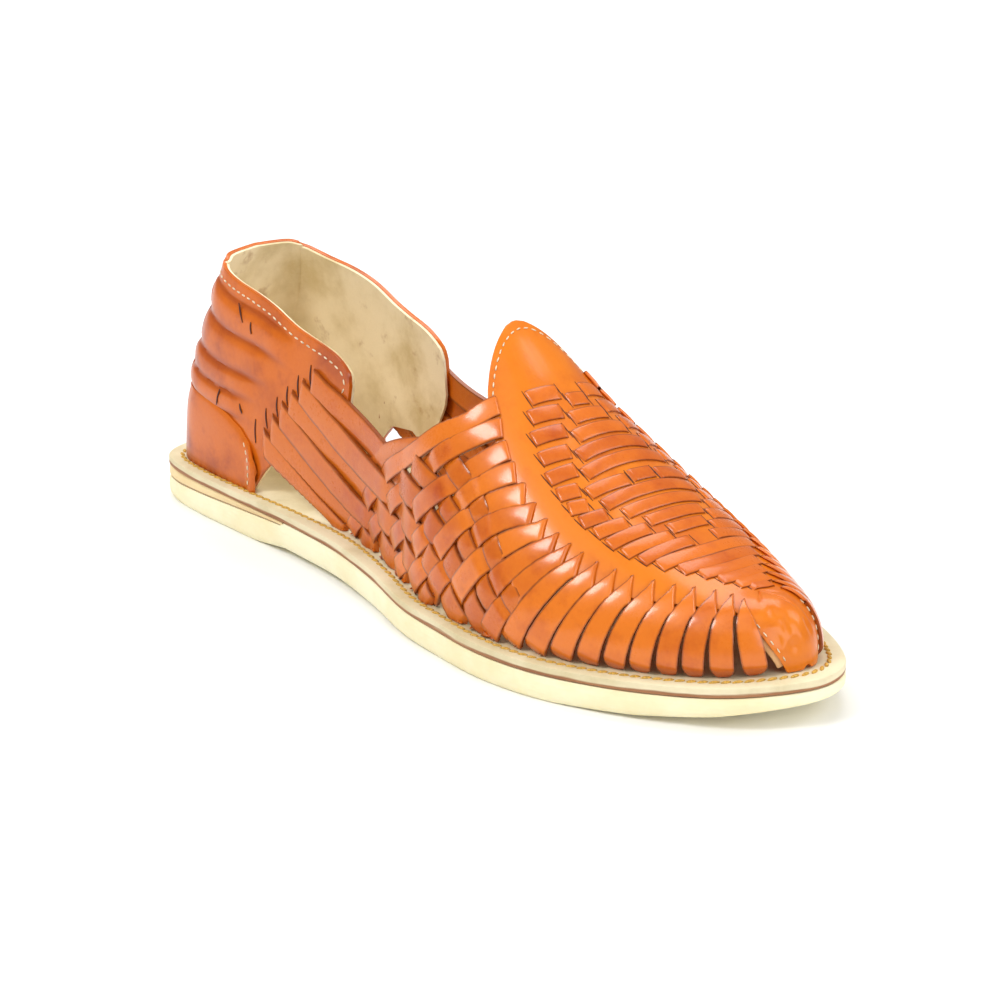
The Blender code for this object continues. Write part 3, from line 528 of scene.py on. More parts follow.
fans = [curveThrough(row, 60) for row in fanRows]
straps = [strapPath(row) for row in strapRows] + [curveThrough(row, 40) for row in loopRows]
firstWoven = 0.12
domeAcross = 1 - np.abs(np.linspace(-1, 1, 9))[None, :] ** 3
meets = {}
for i, path in enumerate(fans):
    for j, other in enumerate(straps):
        hit = crossing(path, other)
        if hit and (hit[1] > firstWoven or j >= len(strapRows)):
            meets[i, j] = hit


def weaveLift(hits, sign):
    shares = [share for share, _ in hits]
    lifts = [sign * (fan["swing"] if over else -fan["swing"]) for _, over in hits]
    if not shares:
        return lambda s: np.zeros_like(s)
    marks = [-0.02] + shares + [min(shares[-1] + 0.10, 1.2)]
    values = [0.0] + lifts + [0.0]
    return lambda s: easeThrough(marks, values, np.clip(s, marks[0], marks[-1] - 1e-6))


def addFanStrip(index, medial):
    path = fans[index]
    length = lengthOf(path)
    foot, top = fan["foot"] / length, fan["top"] / length
    stations = spaced(0, (foot, 9), (1 - top, 46), (1, 6))
    hits = sorted((hit[0], (i + j) % 2 == 0) for (i, j), hit in meets.items() if i == index)
    woven = hits[-1][0] if hits else 0.0
    rooms = [clearWidth(path, fans[k], stations) for k in (index - 1, index + 1) if 0 <= k < len(fans)]
    room = np.minimum(sum(rooms) / len(rooms), np.interp(index, *fanWidths))
    toeward = min(max(index - 8, 0) / 8, 1)    # slimmer feet with gaps between, towards the toe
    covers = (0.95 - 0.20 * toeward, 0.95 - 0.17 * toeward, 0.97 - 0.10 * toeward, 0.985, 0.99)
    cover = np.interp(stations, (0, 0.10, 0.35, 0.60, 1), covers)
    width = room * cover
    tucked = np.clip(1 - stations / foot, 0, 1)
    width = width * (0.60 + 0.40 * np.sqrt(1 - tucked**2))
    rest = 0.6 + 0.4 * np.clip((stations - woven) / 0.1, 0, 1)
    swing = weaveLift(hits, 1)(stations)
    lift = fan["relief"] * rest + swing
    lift = lift - (fan["tuck"] + fan["relief"] * 0.3) * tucked**2
    ending = np.clip((stations - 1 + top) / top, 0, 1)
    lift = lift * (1 - ending**2) + fan["endLift"] * ending**2
    slant = np.interp(index, *fanSlants) / length
    run = mirrored(path) if medial else path
    overSquareShade = np.maximum(swing / fan["swing"], 0)    # painted shade: the over-squares are darker in the middle
    toneAndShade = float(rng.uniform(-1, 1)) + 1.5 * overSquareShade[:, None] * domeAcross
    return addRibbon("strip", run, width, lift, stations, 8, fan["dome"], 0.0, slant if medial else -slant, toneAndShade)


def addStrap(number, medial):
    path = straps[number]
    looped = number >= len(strapRows)
    length = lengthOf(path)
    foot, start = strap["foot"] / length, strap["start"] / length
    stations = spaced(0, (start, 6), (1 - foot, 62), (1, 7))
    hits = sorted((hit[1], (i + j) % 2 == 0) for (i, j), hit in meets.items() if j == number)
    first = hits[0][0] if hits else 1.0
    if looped:
        width = np.full(len(stations), strap["loopWidth"])
    else:
        rooms = [clearWidth(path, straps[k], stations) for k in (number - 1, number + 1) if 0 <= k < len(strapRows)]
        room = np.minimum(sum(rooms) / len(rooms), strap["width"])
        middle = 0.92 if number == len(strapRows) - 1 else 1.07    # a gap shows only over the lowest one
        width = room * np.interp(stations, (0, first * 0.5, first, 1), (1.08, middle, 1.0, 0.98))
    swing = weaveLift(hits, -1)(stations)
    lift = strap["lift"] + swing
    free = 0.0003 + 0.0002 * (number % 2)
    lift = lift + np.interp(stations, (0, 0.02, max(first - 0.08, 0.03), first), (0, 0.0006, free, 0))
    opening = np.clip(1 - stations / start, 0, 1)
    lift = lift * (1 - opening) - strap["startDrop"] * opening**2
    tucked = np.clip(1 - (1 - stations) / foot, 0, 1)
    lift = lift - fan["tuck"] * tucked**2
    run = mirrored(path) if medial else path
    slant = 0.0 if looped else strap["slant"] / length
    overSquareShade = np.maximum(swing / fan["swing"], 0)
    # painted shade: the over-squares are darker in the middle
    toneAndShade = float(rng.uniform(-1, 1)) - 0.2 + 1.5 * overSquareShade[:, None] * domeAcross
    return addRibbon("strap", run, width, lift, stations, 8, strap["dome"], slant if medial else -slant, 0.0, toneAndShade)


wovenSides = {}
for medial in (False, True):
    name = "medial" if medial else "lateral"
    piece = joinPieces(f"{name}FanStrips", [addFanStrip(i, medial) for i in range(len(fans))])
    finishLeather(piece, fan["thickness"])
    wovenSides[name, "fan"] = piece
    corner = curveThrough(cornerLoop, 30)
    corner = mirrored(corner) if medial else corner
    lift = 0.0002 - 0.0012 * np.linspace(-1, 1, 24)**2    # both ends dive under the strips
    corner = addRibbon("loop", corner, strap["cornerWidth"], lift, np.linspace(0, 1, 24), 6, strap["cornerDome"])
    piece = joinPieces(f"{name}HeelStraps", [corner] + [addStrap(j, medial) for j in range(len(straps))])
    finishLeather(piece, strap["thickness"])
    wovenSides[name, "strap"] = piece
print("side weave made")

# strips woven across the vamp
centre = {"middle": 1.06, "cover": 0.93, "relief": 0.00042, "thickness": 0.0012, "dive": 0.00060, "slit": 0.00036,
          "end": 0.0011, "dome": 0.0002, "pitch": 0.0137, "middlePitch": 0.0128, "acrossPitch": 0.0158,
          "acrossStep": 0.0006, "bow": 0.004}
# turn and rise of each strip's lateral end, then of its medial end
columnRows = (
    (0.572, 0.838, 0.577, 0.992), (0.582, 0.788, 0.590, 0.946), (0.594, 0.738, 0.603, 0.898),
    (0.608, 0.708, 0.617, 0.850), (0.622, 0.675, 0.630, 0.817), (0.635, 0.662, 0.643, 0.765),
    (0.648, 0.655, 0.656, 0.745), (0.662, 0.650, 0.670, 0.783), (0.676, 0.660, 0.684, 0.829),
    (0.690, 0.660, 0.696, 0.892), (0.704, 0.675, 0.710, 0.950), (0.718, 0.704, 0.720, 1.000),
)
middleRows = (
    (0.584, 1.005, 0.584, 1.115), (0.597, 0.960, 0.596, 1.160), (0.610, 0.912, 0.608, 1.208),
    (0.623, 0.865, 0.621, 1.255), (0.636, 0.828, 0.634, 1.292), (0.649, 0.780, 0.652, 0.985),
    (0.652, 1.135, 0.649, 1.340), (0.6505, 0.997, 0.6505, 1.123), (0.663, 0.800, 0.663, 1.320),
    (0.6765, 0.850, 0.6765, 1.270), (0.690, 0.910, 0.690, 1.210), (0.7035, 0.965, 0.7035, 1.155),
)
acrossRows = (
    (0.731, 0.742, 0.731, 1.378), (0.746, 0.804, 0.746, 1.316), (0.761, 0.860, 0.761, 1.260),
    (0.777, 0.905, 0.777, 1.215), (0.795, 0.948, 0.795, 1.172), (0.816, 0.985, 0.816, 1.135),
)
slitShadows = []


def addSlitShadow(path, width=0.0007, lift=0.0003):
    # painted shadow of a cut in the leather: a thin dark strip on the surface, tapering to its ends
    stations = np.linspace(0, 1, 12)
    taper = 0.25 + 0.75 * np.sqrt(np.sin(math.pi * np.clip(stations, 0.02, 0.98)))
    slitShadows.append(addRibbon("slit", path, width * taper, lift, stations, 2, 0.00012))


def addCrossStrip(row, pitch, bow=0.0, toneAndShade=0.0):
    turnA, riseA, turnB, riseB = row
    points = ((turnA, riseA), ((turnA + turnB) / 2 + bow, (riseA + riseB) / 2), (turnB, riseB))
    path = curveThrough(points, 24)
    room = pitch * last["soleLength"] * math.pi / 2 * math.sin(math.pi * (turnA + turnB) / 2)
    end = min(centre["end"] / lengthOf(path), 0.2)
    stations = spaced(0, (end, 4), (1 - end, 20), (1, 4))
    close = np.clip(1 - stations / end, 0, 1) ** 2 + np.clip(1 - (1 - stations) / end, 0, 1) ** 2
    lift = centre["relief"] - centre["dive"] * close
    half = pitch * 0.47
    for turn, rise, away in ((turnA, riseA, -0.004), (turnB, riseB, 0.004)):
        mouth = np.stack([np.linspace(turn - half, turn + half, 12), np.full(12, rise + away)], -1)
        addSlitShadow(mouth, centre["slit"], 0.00006)
    toneAndShade = float(rng.uniform(-1, 1)) + toneAndShade
    return addRibbon("cross", path, room * centre["cover"], lift, stations, 6, centre["dome"], 0.0, 0.0, toneAndShade)


crossStrips = []
for row in columnRows:
    crossStrips.append(addCrossStrip(row, centre["pitch"]))
    a, b, c, d = row
    twice = 2 * centre["middle"]
    crossStrips.append(addCrossStrip((c, twice - d, a, twice - b), centre["pitch"]))
crossStrips += [addCrossStrip(row, centre["middlePitch"], 0.0, 0.3) for row in middleRows]
for k, row in enumerate(acrossRows):
    crossStrips.append(addCrossStrip(row, centre["acrossPitch"] + centre["acrossStep"] * k, centre["bow"], 0.3))
crossPiece = joinPieces("vampWeave", crossStrips)
finishLeather(crossPiece, centre["thickness"])
print("vamp weave made")

# heel: quarter with its woven bands, lining and counter
heel = {"wall": 0.0013, "lining": 0.0009, "liningDepth": 0.00135, "liningDrop": 0.0015, "rows": 80,
        "bandRelief": 0.0013, "counterWall": 0.0011, "counterGap": 0.0003, "counterThinned": 0.0009,
        "slitWidth": 0.0007, "slitLift": 0.00018}
quarterRows = np.array([
    # turn, lower edge, rim
    (0.0000, 0.000, 0.455), (0.0600, 0.000, 0.450), (0.1200, 0.000, 0.438), (0.2000, 0.000, 0.418),
    (0.2500, 0.000, 0.408), (0.2840, 0.000, 0.396), (0.3000, 0.045, 0.388), (0.3180, 0.085, 0.380),
    (0.3450, 0.098, 0.376), (0.3660, 0.108, 0.375), (0.3780, 0.145, 0.373), (0.3880, 0.190, 0.367),
    (0.3960, 0.228, 0.357), (0.4010, 0.258, 0.344), (0.4030, 0.285, 0.325),
])
# the bands' seams as shares of the quarter's height, and where each band fades out
bandSeams = (0.335, 0.445, 0.560, 0.735, 0.905)
bandEnds = (0.262, 0.272, 0.288, 0.306)


def quarterLow(turn):
    return np.interp(np.abs(turn), quarterRows[:, 0], quarterRows[:, 1])


def quarterRim(turn):
    return smoothThrough(quarterRows[:, 0], quarterRows[:, 2], np.abs(turn))


def bandShape(turn, rise):
    # lift and seam shade of the bands round the heel
    turn = np.abs(turn)
    share = rise / quarterRim(turn) + 0.010 * np.sin(turn * 34 + 0.6)
    lift, shade = np.zeros(np.shape(share)), np.zeros(np.shape(share))
    for k, end in enumerate(bandEnds):
        low, high = bandSeams[k], bandSeams[k + 1]
        t = np.clip((share - low) / (high - low), 0, 1)
        fade = np.clip((end + 0.022 - turn) / 0.044, 0, 1)
        fade = fade * fade * (3 - 2 * fade)
        crown = np.abs(np.sin(math.pi * t)) ** 0.55 * (0.75 + 0.25 * t)
        lift += heel["bandRelief"] * crown * fade
        near = np.minimum(abs(share - low), abs(share - high)) / 0.020
        shade = np.maximum(shade, fade * np.exp(-near**2))
    return lift, shade


def makeHeelSheet(name, outer, thickness, drop=0.0, corner=0.0004, banded=False):
    half = spaced(0, (0.27, 60), (0.388, 34), (0.403, 9))
    turns = np.concatenate([-half[:0:-1], half])
    share = np.linspace(0, 1, heel["rows"] + 1)
    low, rim = quarterLow(turns), quarterRim(turns) - drop
    if not banded:    # the lining reaches down behind the straps
        low = low - 0.05 * np.clip((np.abs(turns) - 0.352) / 0.03, 0, 1)
    rises = low[:, None] + (rim - low)[:, None] * share[None, :]
    grid = np.broadcast_to(turns[:, None], rises.shape)
    lift, shade = bandShape(grid, rises) if banded else (np.zeros(rises.shape), 0.0)
    piece = layGrid(name, offLast(grid, rises, outer + lift), shade)
    finishLeather(piece, thickness, corner, 3)
    return piece


quarterPiece = makeHeelSheet("heelQuarter", 0.0, heel["wall"], banded=True)
liningPiece = makeHeelSheet("heelLining", -heel["liningDepth"], heel["lining"], heel["liningDrop"], 0.0002)

counterRows = np.array([
    (0.000, 0.150), (0.120, 0.150), (0.200, 0.146), (0.240, 0.134), (0.266, 0.116), (0.282, 0.092), (0.292, 0.060),
    (0.2945, 0.030), (0.2950, 0.0),
])


def makeCounter():
    half = spaced(0, (0.26, 40), (0.2935, 18))
    turns = np.concatenate([-half[:0:-1], half])
    top = np.interp(np.abs(turns), counterRows[:, 0], counterRows[:, 1])
    rises = top[:, None] * np.linspace(0, 1, 13)[None, :]
    grid = np.broadcast_to(turns[:, None], rises.shape)
    # its front edges are folded under, and its top edge is pared thin
    fold = 0.0008 * np.clip((np.abs(grid) - 0.279) / 0.008, 0, 1)
    fold = fold - 0.0009 * np.clip((np.abs(grid) - 0.2905) / 0.003, 0, 1)
    thinned = heel["counterThinned"] * np.clip((np.linspace(0, 1, 13) - 0.7) / 0.3, 0, 1)[None, :] ** 2
    lift = heel["counterGap"] + heel["counterWall"] + fold - thinned
    piece = layGrid("heelCounter", offLast(grid, rises, lift))
    finishLeather(piece, heel["counterWall"], 0.0005, 3)
    return piece


counterPiece = makeCounter()

# cuts round the heel and at the straps' starts: turn and rise of the upper end, then the lower
heelSlits = (
    (0.224, 0.374, 0.238, 0.335), (0.252, 0.344, 0.257, 0.319),
    (0.226, 0.178, 0.222, 0.144), (0.262, 0.166, 0.267, 0.148),
)
strapSlits = (
    (0.350, 0.318, 0.355, 0.266), (0.336, 0.281, 0.341, 0.236), (0.325, 0.246, 0.329, 0.206),
    (0.314, 0.214, 0.318, 0.174), (0.301, 0.180, 0.305, 0.140), (0.287, 0.148, 0.289, 0.100),
)
# each cut gets a painted shadow strip
for side in (1, -1):
    for turnA, riseA, turnB, riseB in heelSlits + strapSlits:
        middleTurn, middleRise = (turnA + turnB) / 2 - 0.001, (riseA + riseB) / 2
        path = curveThrough(((side * turnA, riseA), (side * middleTurn, middleRise), (side * turnB, riseB)), 12)
        lift = bandShape(path[:, 0], path[:, 1])[0].max()
        addSlitShadow(path, heel["slitWidth"], lift + heel["slitLift"])
slitPiece = joinPieces("slitShadowStrips", slitShadows)
finishLeather(slitPiece, 0.0003, 0.0)

# the raw flap under the toe's near and far edge
flap = {"width": 0.0030, "lift": -0.0010, "thickness": 0.0009}
flapStrips = []
for medial in (False, True):
    path = curveThrough(((0.866, 0.640), (0.889, 0.420), (0.911, 0.200), (0.931, 0.030)), 30)
    run = mirrored(path) if medial else path
    flapStrips.append(addRibbon("flap", run, flap["width"], flap["lift"], np.linspace(0, 1, 30), 4, 0.0002))
flapPiece = joinPieces("toeFlap", flapStrips)
finishLeather(flapPiece, flap["thickness"], 0.0003)
print("heel made")

# stitches
stitchSizes = {
    # pitch, length, width and height
    "insole": (0.0034, 0.0034, 0.0013, 0.0010),
    "collar": (0.0030, 0.0020, 0.0006, 0.0005),
    "tongue": (0.0028, 0.0019, 0.0005, 0.0004),
    "fold": (0.0026, 0.0018, 0.0005, 0.0004),
    "cap": (0.0028, 0.0018, 0.00045, 0.0004),
}


def stitchRun(name, size, points, normals, tilt=0.0):
    # one small stitch is modelled, then copied along the line
    pitch, length, width, height = size
    deselectAll()
    bpy.ops.mesh.primitive_uv_sphere_add(segments=8, ring_count=5, radius=0.5, location=(0, 0, 0))
    model = bpy.context.active_object
    shape = np.array([vertex.co for vertex in model.data.vertices])
    steps = np.linalg.norm(np.diff(points, axis=0), axis=-1)
    travelled = np.concatenate([[0], np.cumsum(steps)])
    whole = travelled[-1]

    def pointAt(s, values):
        return np.array([np.interp(s, travelled, values[:, i]) for i in range(3)])

    count = max(int(whole / pitch), 2)
    copies = []
    for s in (np.arange(count) + 0.5) * whole / count:
        place, up = pointAt(s, points), pointAt(s, normals)
        run = pointAt(min(s + 5e-4, whole), points) - pointAt(max(s - 5e-4, 0), points)
        run /= np.linalg.norm(run)
        side = np.cross(up, run)
        side /= np.linalg.norm(side)
        up = np.cross(run, side)
        angle = tilt + rng.normal(0, 0.05)
        run, side = run * math.cos(angle) + side * math.sin(angle), side * math.cos(angle) - run * math.sin(angle)
        long = length * rng.uniform(0.93, 1.05)
        body = shape[:, :1] * long * run + shape[:, 1:2] * width * side + shape[:, 2:] * height * up
        copy = model.copy()
        copy.data = model.data.copy()
        copy.data.vertices.foreach_set("co", (place + body).ravel())
        bpy.context.scene.collection.objects.link(copy)
        copies.append(copy)
    bpy.data.objects.remove(model)
    piece = joinPieces(name, copies)
    smoothAll(piece, 80)
    return piece


def chartLine(path, lift):
    return offLast(path[:, 0], path[:, 1], np.full(len(path), lift)), outward(path[:, 0], path[:, 1])


def insoleLine(inset):
    turns = np.concatenate([np.linspace(0, 1, 300), np.linspace(1, 0, 300)[1:]])
    points = []
    for column, part in ((lateralColumn, turns[:300]), (medialColumn, turns[300:])):
        welt = lastValue(weltColumn, part) * last["weltMargin"]
        edge = insetEdge(part, column, welt * inset)
        points.append(np.column_stack([edge, insoleTop(alongOf(part)) + 0.00005]))
    points = placed(np.concatenate(points))
    return points, np.broadcast_to(np.array((0.0, 0.0, 1.0)), points.shape)


insoleStitches = stitchRun("insoleStitches", stitchSizes["insole"], *insoleLine(0.62), 0.34)
rimTurns = np.linspace(-0.392, 0.392, 240)
rimPath = np.stack([rimTurns, quarterRim(rimTurns) - 0.022], -1)
endPath = curveThrough(((0.392, 0.340), (0.397, 0.318), (0.393, 0.290), (0.384, 0.262)), 20)
startPath = np.stack([-endPath[::-1, 0], endPath[::-1, 1]], -1)
collarPath = np.concatenate([startPath, rimPath, endPath])
collarStitches = stitchRun("collarStitches", stitchSizes["collar"], *chartLine(collarPath, 0.0001))
tongueSide = curveThrough(((0.556, 0.700), (0.549, 0.752), (0.541, 0.838), (0.536, 0.930), (0.5345, 1.0)), 40)
tonguePath = np.concatenate([tongueSide, mirrored(tongueSide)[::-1][1:]])
tongueStitches = stitchRun("tongueStitches", stitchSizes["tongue"], *chartLine(tonguePath, 0.0001))
foldLine = ((0.278, 0.100), (0.284, 0.070), (0.286, 0.040), (0.286, 0.012))
foldLines = []
for sign in (1, -1):
    foldPath = curveThrough([(sign * turn, rise) for turn, rise in foldLine], 24)
    foldLines.append(stitchRun("foldStitches", stitchSizes["fold"], *chartLine(foldPath, 0.0024)))
foldStitches = joinPieces("foldStitches", foldLines)
capLines = []
for medial in (False, True):
    capPath = curveThrough(((0.875, 0.620), (0.897, 0.420), (0.917, 0.230), (0.937, 0.060)), 40)
    capPath = mirrored(capPath) if medial else capPath
    capLines.append(stitchRun("capStitches", stitchSizes["cap"], *chartLine(capPath, 0.0001)))
capStitches = joinPieces("capStitches", capLines)
print("stitches made")


# finishes
class Wire:
    # a socket that takes part in sums
    def __init__(self, finish, socket):
        self.finish, self.socket = finish, socket

    def sum(self, operation, first, second=0.0, clamp=False):
        return self.finish.node("ShaderNodeMath", {"operation": operation, "use_clamp": clamp}, [first, second])

    def __add__(self, other): return self.sum("ADD", self, other)
    def __radd__(self, other): return self.sum("ADD", other, self)
    def __sub__(self, other): return self.sum("SUBTRACT", self, other)
    def __rsub__(self, other): return self.sum("SUBTRACT", other, self)
    def __mul__(self, other): return self.sum("MULTIPLY", self, other)
    def __rmul__(self, other): return self.sum("MULTIPLY", other, self)
    def __truediv__(self, other): return self.sum("DIVIDE", self, other)
    def __abs__(self): return self.sum("ABSOLUTE", self)
    def clamped(self): return self.sum("ADD", self, 0.0, True)

    def step(self, low, high):    # 0 below low, 1 above high, smooth between
        smooth = {"interpolation_type": "SMOOTHSTEP"}
        return self.finish.node("ShaderNodeMapRange", smooth, [self, low, high, 0.0, 1.0])


class Finish:
    def __init__(self, name):
        self.material = bpy.data.materials.new(name)
        self.material.use_nodes = True
        self.tree = self.material.node_tree
        self.shader = self.tree.nodes["Principled BSDF"]
        self.place = self.node("ShaderNodeTexCoord", {}, {}, "Object")
        self.uv = self.node("ShaderNodeTexCoord", {}, {}, "UV")

    def node(self, kind, settings, inputs, output=0):
        made = self.tree.nodes.new(kind)
        for key, value in settings.items():
            setattr(made, key, value)
        pairs = inputs.items() if isinstance(inputs, dict) else enumerate(inputs)
        for key, value in pairs:
            self.feed(made.inputs[key], value)
        return Wire(self, made.outputs[output])

    def feed(self, socket, value):
        if isinstance(value, Wire):
            self.tree.links.new(value.socket, socket)
        elif isinstance(value, tuple) and len(value) == 3 and socket.type == "RGBA":
            socket.default_value = (*value, 1)
        else:
            socket.default_value = value

    def mix(self, factor, first, second):
        made = self.tree.nodes.new("ShaderNodeMix")
        made.data_type = "RGBA"
        for index, value in ((0, factor), (6, first), (7, second)):
            self.feed(made.inputs[index], value)
        return Wire(self, made.outputs[2])

    def noise(self, scale, detail=3.0, roughness=0.55, stretch=None, vector=None):
        vector = vector or self.place
        if stretch:
            vector = self.node("ShaderNodeMapping", {}, {"Vector": vector, "Scale": stretch})
        inputs = {"Vector": vector, "Scale": scale, "Detail": detail, "Roughness": roughness}
        return self.node("ShaderNodeTexNoise", {}, inputs)

    def cells(self, scale):
        return self.node("ShaderNodeTexVoronoi", {}, {"Vector": self.place, "Scale": scale}, "Distance")

    def bump(self, height, strength, distance, normal=None):
        inputs = {"Height": height, "Strength": strength, "Distance": distance}
        if normal:
            inputs["Normal"] = normal
        return self.node("ShaderNodeBump", {}, inputs)

    def wear(self, **values):
        for key, value in values.items():
            self.feed(self.shader.inputs[key], value)

    def put(self, *pieces, inner=None):
        # a sheet's inner face takes the second finish
        for piece in pieces:
            piece.data.materials.clear()
            piece.data.materials.append(self.material)
            if inner:
                piece.data.materials.append(inner.material)


def rgb(red, green, blue):
    def linear(value):
        value /= 255
        return value / 12.92 if value <= 0.04045 else ((value + 0.055) / 1.055) ** 2.4
    return (linear(red), linear(green), linear(blue))


leather = {
    "bright": rgb(240, 148, 40),
    "tan": rgb(224, 116, 26),
    "deep": rgb(176, 66, 10),
    # edge: colour of the strips' long edges, partly burnished edge and partly painted shade between strips
    "edge": rgb(104, 36, 6),
    "roughness": 0.30,
    "coat": 0.75,
    "coatRoughness": 0.17,
    "specular": 0.16,
    "grain": 0.10,
}


def strippedLeather(name, body, deep, shadeAndBurnishStart, tuckedEndShadeReach, shine=1.0, tones=1.0):
    finish = Finish(name)
    across = finish.node("ShaderNodeSeparateXYZ", {}, [finish.uv], 1)
    along = finish.node("ShaderNodeSeparateXYZ", {}, [finish.uv], 0)
    toneAndShade = finish.node("ShaderNodeAttribute", {"attribute_name": "toneAndShade"}, {}, "Fac")
    cloud = finish.noise(55.0, 4.0)
    blotch = finish.noise(160.0, 3.0)
    fine = finish.noise(900.0, 3.0)
    edge = abs(across - 0.5) * 2.0
    rim = edge.step(shadeAndBurnishStart, 1.0)
    # painted shade at the starting end of each strip, where it dives under the insole margin or into a slit
    foot = (1.0 - along.step(0.0, tuckedEndShadeReach)) * 0.55
    shade = (cloud.step(0.42, 0.70) * 0.40 + blotch.step(0.5, 0.72) * 0.25 + toneAndShade * 0.22 * tones).clamped()
    colour = finish.mix(shade, body, deep)
    colour = finish.mix(foot.clamped(), colour, deep)
    # painted shade between strips, mixed with burnished edge colour: each strip darkens towards its long edges
    colour = finish.mix((rim * 0.75).clamped(), colour, leather["edge"])
    colour = finish.mix((fine - 0.5) * 0.25 + 0.06, colour, leather["bright"])
    grain = finish.cells(1500.0) * 0.5 + fine * 0.8
    stretch = finish.noise(30.0, 3.0, 0.5, (6.0, 60.0, 1.0), finish.uv)
    normal = finish.bump(blotch, 0.26, 0.0006)
    normal = finish.bump(stretch, 0.10, 0.0004, normal)
    normal = finish.bump(grain, leather["grain"], 0.00012, normal)
    rough = leather["roughness"] + (cloud - 0.5) * 0.18 + rim * 0.15 + (fine - 0.5) * 0.10
    finish.wear(**{"Base Color": colour, "Roughness": rough, "Normal": normal, "Coat Weight": leather["coat"] * shine,
                   "Coat Roughness": leather["coatRoughness"], "Specular IOR Level": leather["specular"]})
    return finish


fanFinish = strippedLeather("waxedStrips", leather["tan"], leather["deep"], 0.80, 0.16)
strapFinish = strippedLeather("waxedStraps", rgb(208, 104, 18), leather["deep"], 0.72, 0.05, 0.8)
crossFinish = strippedLeather("waxedVampWeave", rgb(214, 106, 22), leather["deep"], 0.80, 0.01, 0.6, 1.2)

def smoothLeather(name, body, deep, amount):
    finish = Finish(name)
    cloud = finish.noise(38.0, 4.0)
    blotch = finish.noise(120.0, 3.0)
    fine = finish.noise(950.0, 3.0)
    creaseShade = finish.node("ShaderNodeAttribute", {"attribute_name": "toneAndShade"}, {}, "Fac")
    shade = (cloud.step(0.44, 0.72) * amount + blotch.step(0.52, 0.75) * amount * 0.5).clamped()
    colour = finish.mix(shade, body, deep)
    colour = finish.mix((fine - 0.5) * 0.2 + 0.05, colour, leather["bright"])
    # painted shade in the creases between the heel bands
    colour = finish.mix((creaseShade * 0.70).clamped(), colour, rgb(150, 58, 12))
    creases = finish.noise(24.0, 5.0, 0.6, (1.0, 2.6, 1.0))
    grain = finish.cells(1300.0) * 0.5 + fine * 0.8
    normal = finish.bump(creases, 0.26, 0.0012)
    normal = finish.bump(grain, leather["grain"] * 1.1, 0.00012, normal)
    rough = leather["roughness"] + 0.03 + (cloud - 0.5) * 0.16 + (fine - 0.5) * 0.10
    finish.wear(**{"Base Color": colour, "Roughness": rough, "Normal": normal, "Coat Weight": leather["coat"] * 0.6,
                   "Coat Roughness": leather["coatRoughness"], "Specular IOR Level": leather["specular"]})
    return finish


vampFinish = smoothLeather("smoothVamp", rgb(224, 120, 20), rgb(188, 76, 12), 0.55)
quarterFinish = smoothLeather("smoothHeel", rgb(206, 100, 14), rgb(154, 54, 8), 0.80)


def suede():
    finish = Finish("liningSuede")
    cloud = finish.noise(34.0, 5.0, 0.6)
    spots = finish.noise(90.0, 4.0, 0.6)
    nap = finish.noise(1400.0, 3.0)
    colour = finish.mix(cloud.step(0.42, 0.72), rgb(252, 236, 200), rgb(214, 192, 142))
    colour = finish.mix((spots.step(0.58, 0.72) * 0.60).clamped(), colour, rgb(180, 140, 92))
    colour = finish.mix((nap - 0.3) * 0.35, colour, rgb(240, 226, 184))
    normal = finish.bump(cloud, 0.25, 0.0010)
    normal = finish.bump(nap, 0.35, 0.0002, normal)
    finish.wear(**{"Base Color": colour, "Roughness": 0.92, "Normal": normal, "Specular IOR Level": 0.2})
    return finish


def fleshSide():
    finish = Finish("fleshSide")
    cloud = finish.noise(60.0, 4.0, 0.6)
    nap = finish.noise(1300.0, 3.0)
    colour = finish.mix(cloud.step(0.40, 0.70), rgb(234, 188, 134), rgb(204, 148, 96))
    normal = finish.bump(nap, 0.30, 0.0002)
    finish.wear(**{"Base Color": colour, "Roughness": 0.80, "Normal": normal, "Specular IOR Level": 0.3})
    return finish


def slitShadowFinish():
    finish = Finish("slitShadow")
    fine = finish.noise(700.0, 2.0)
    finish.wear(**{"Base Color": finish.mix(fine, rgb(52, 18, 8), rgb(92, 36, 14)), "Roughness": 0.7,
                   "Normal": finish.bump(fine, 0.2, 0.0001)})
    return finish


inside = fleshSide()
suede().put(liningPiece)
fanFinish.put(wovenSides["lateral", "fan"], wovenSides["medial", "fan"], inner=inside)
strapFinish.put(wovenSides["lateral", "strap"], wovenSides["medial", "strap"], inner=inside)
crossFinish.put(crossPiece, inner=inside)
vampFinish.put(vampPiece, inner=inside)
quarterFinish.put(quarterPiece, counterPiece, inner=inside)
slitShadowFinish().put(slitPiece)
inside.put(flapPiece)


def footbedLeather():
    finish = Finish("footbedLeather")
    level = finish.node("ShaderNodeSeparateXYZ", {}, [finish.uv], 1)
    cloud = finish.noise(30.0, 5.0, 0.6)
    fine = finish.noise(1100.0, 3.0)
    streak = finish.noise(60.0, 3.0, 0.5, (1.0, 1.0, 14.0))
    top = (level + (streak - 0.5) * 0.22).step(0.34, 0.42)
    pale = finish.mix(cloud.step(0.40, 0.70), rgb(232, 220, 184), rgb(206, 190, 146))
    pale = finish.mix((fine - 0.4) * 0.3, pale, rgb(238, 228, 192))
    brown = finish.mix(streak, rgb(128, 72, 40), rgb(186, 136, 90))
    colour = finish.mix(top, brown, pale)
    normal = finish.bump(fine, 0.25, 0.0002)
    normal = finish.bump(streak, 0.2, 0.0004, normal)
    finish.wear(**{"Base Color": colour, "Roughness": 0.62 + top * 0.15, "Normal": normal})
    return finish


footbedLeather().put(insole)


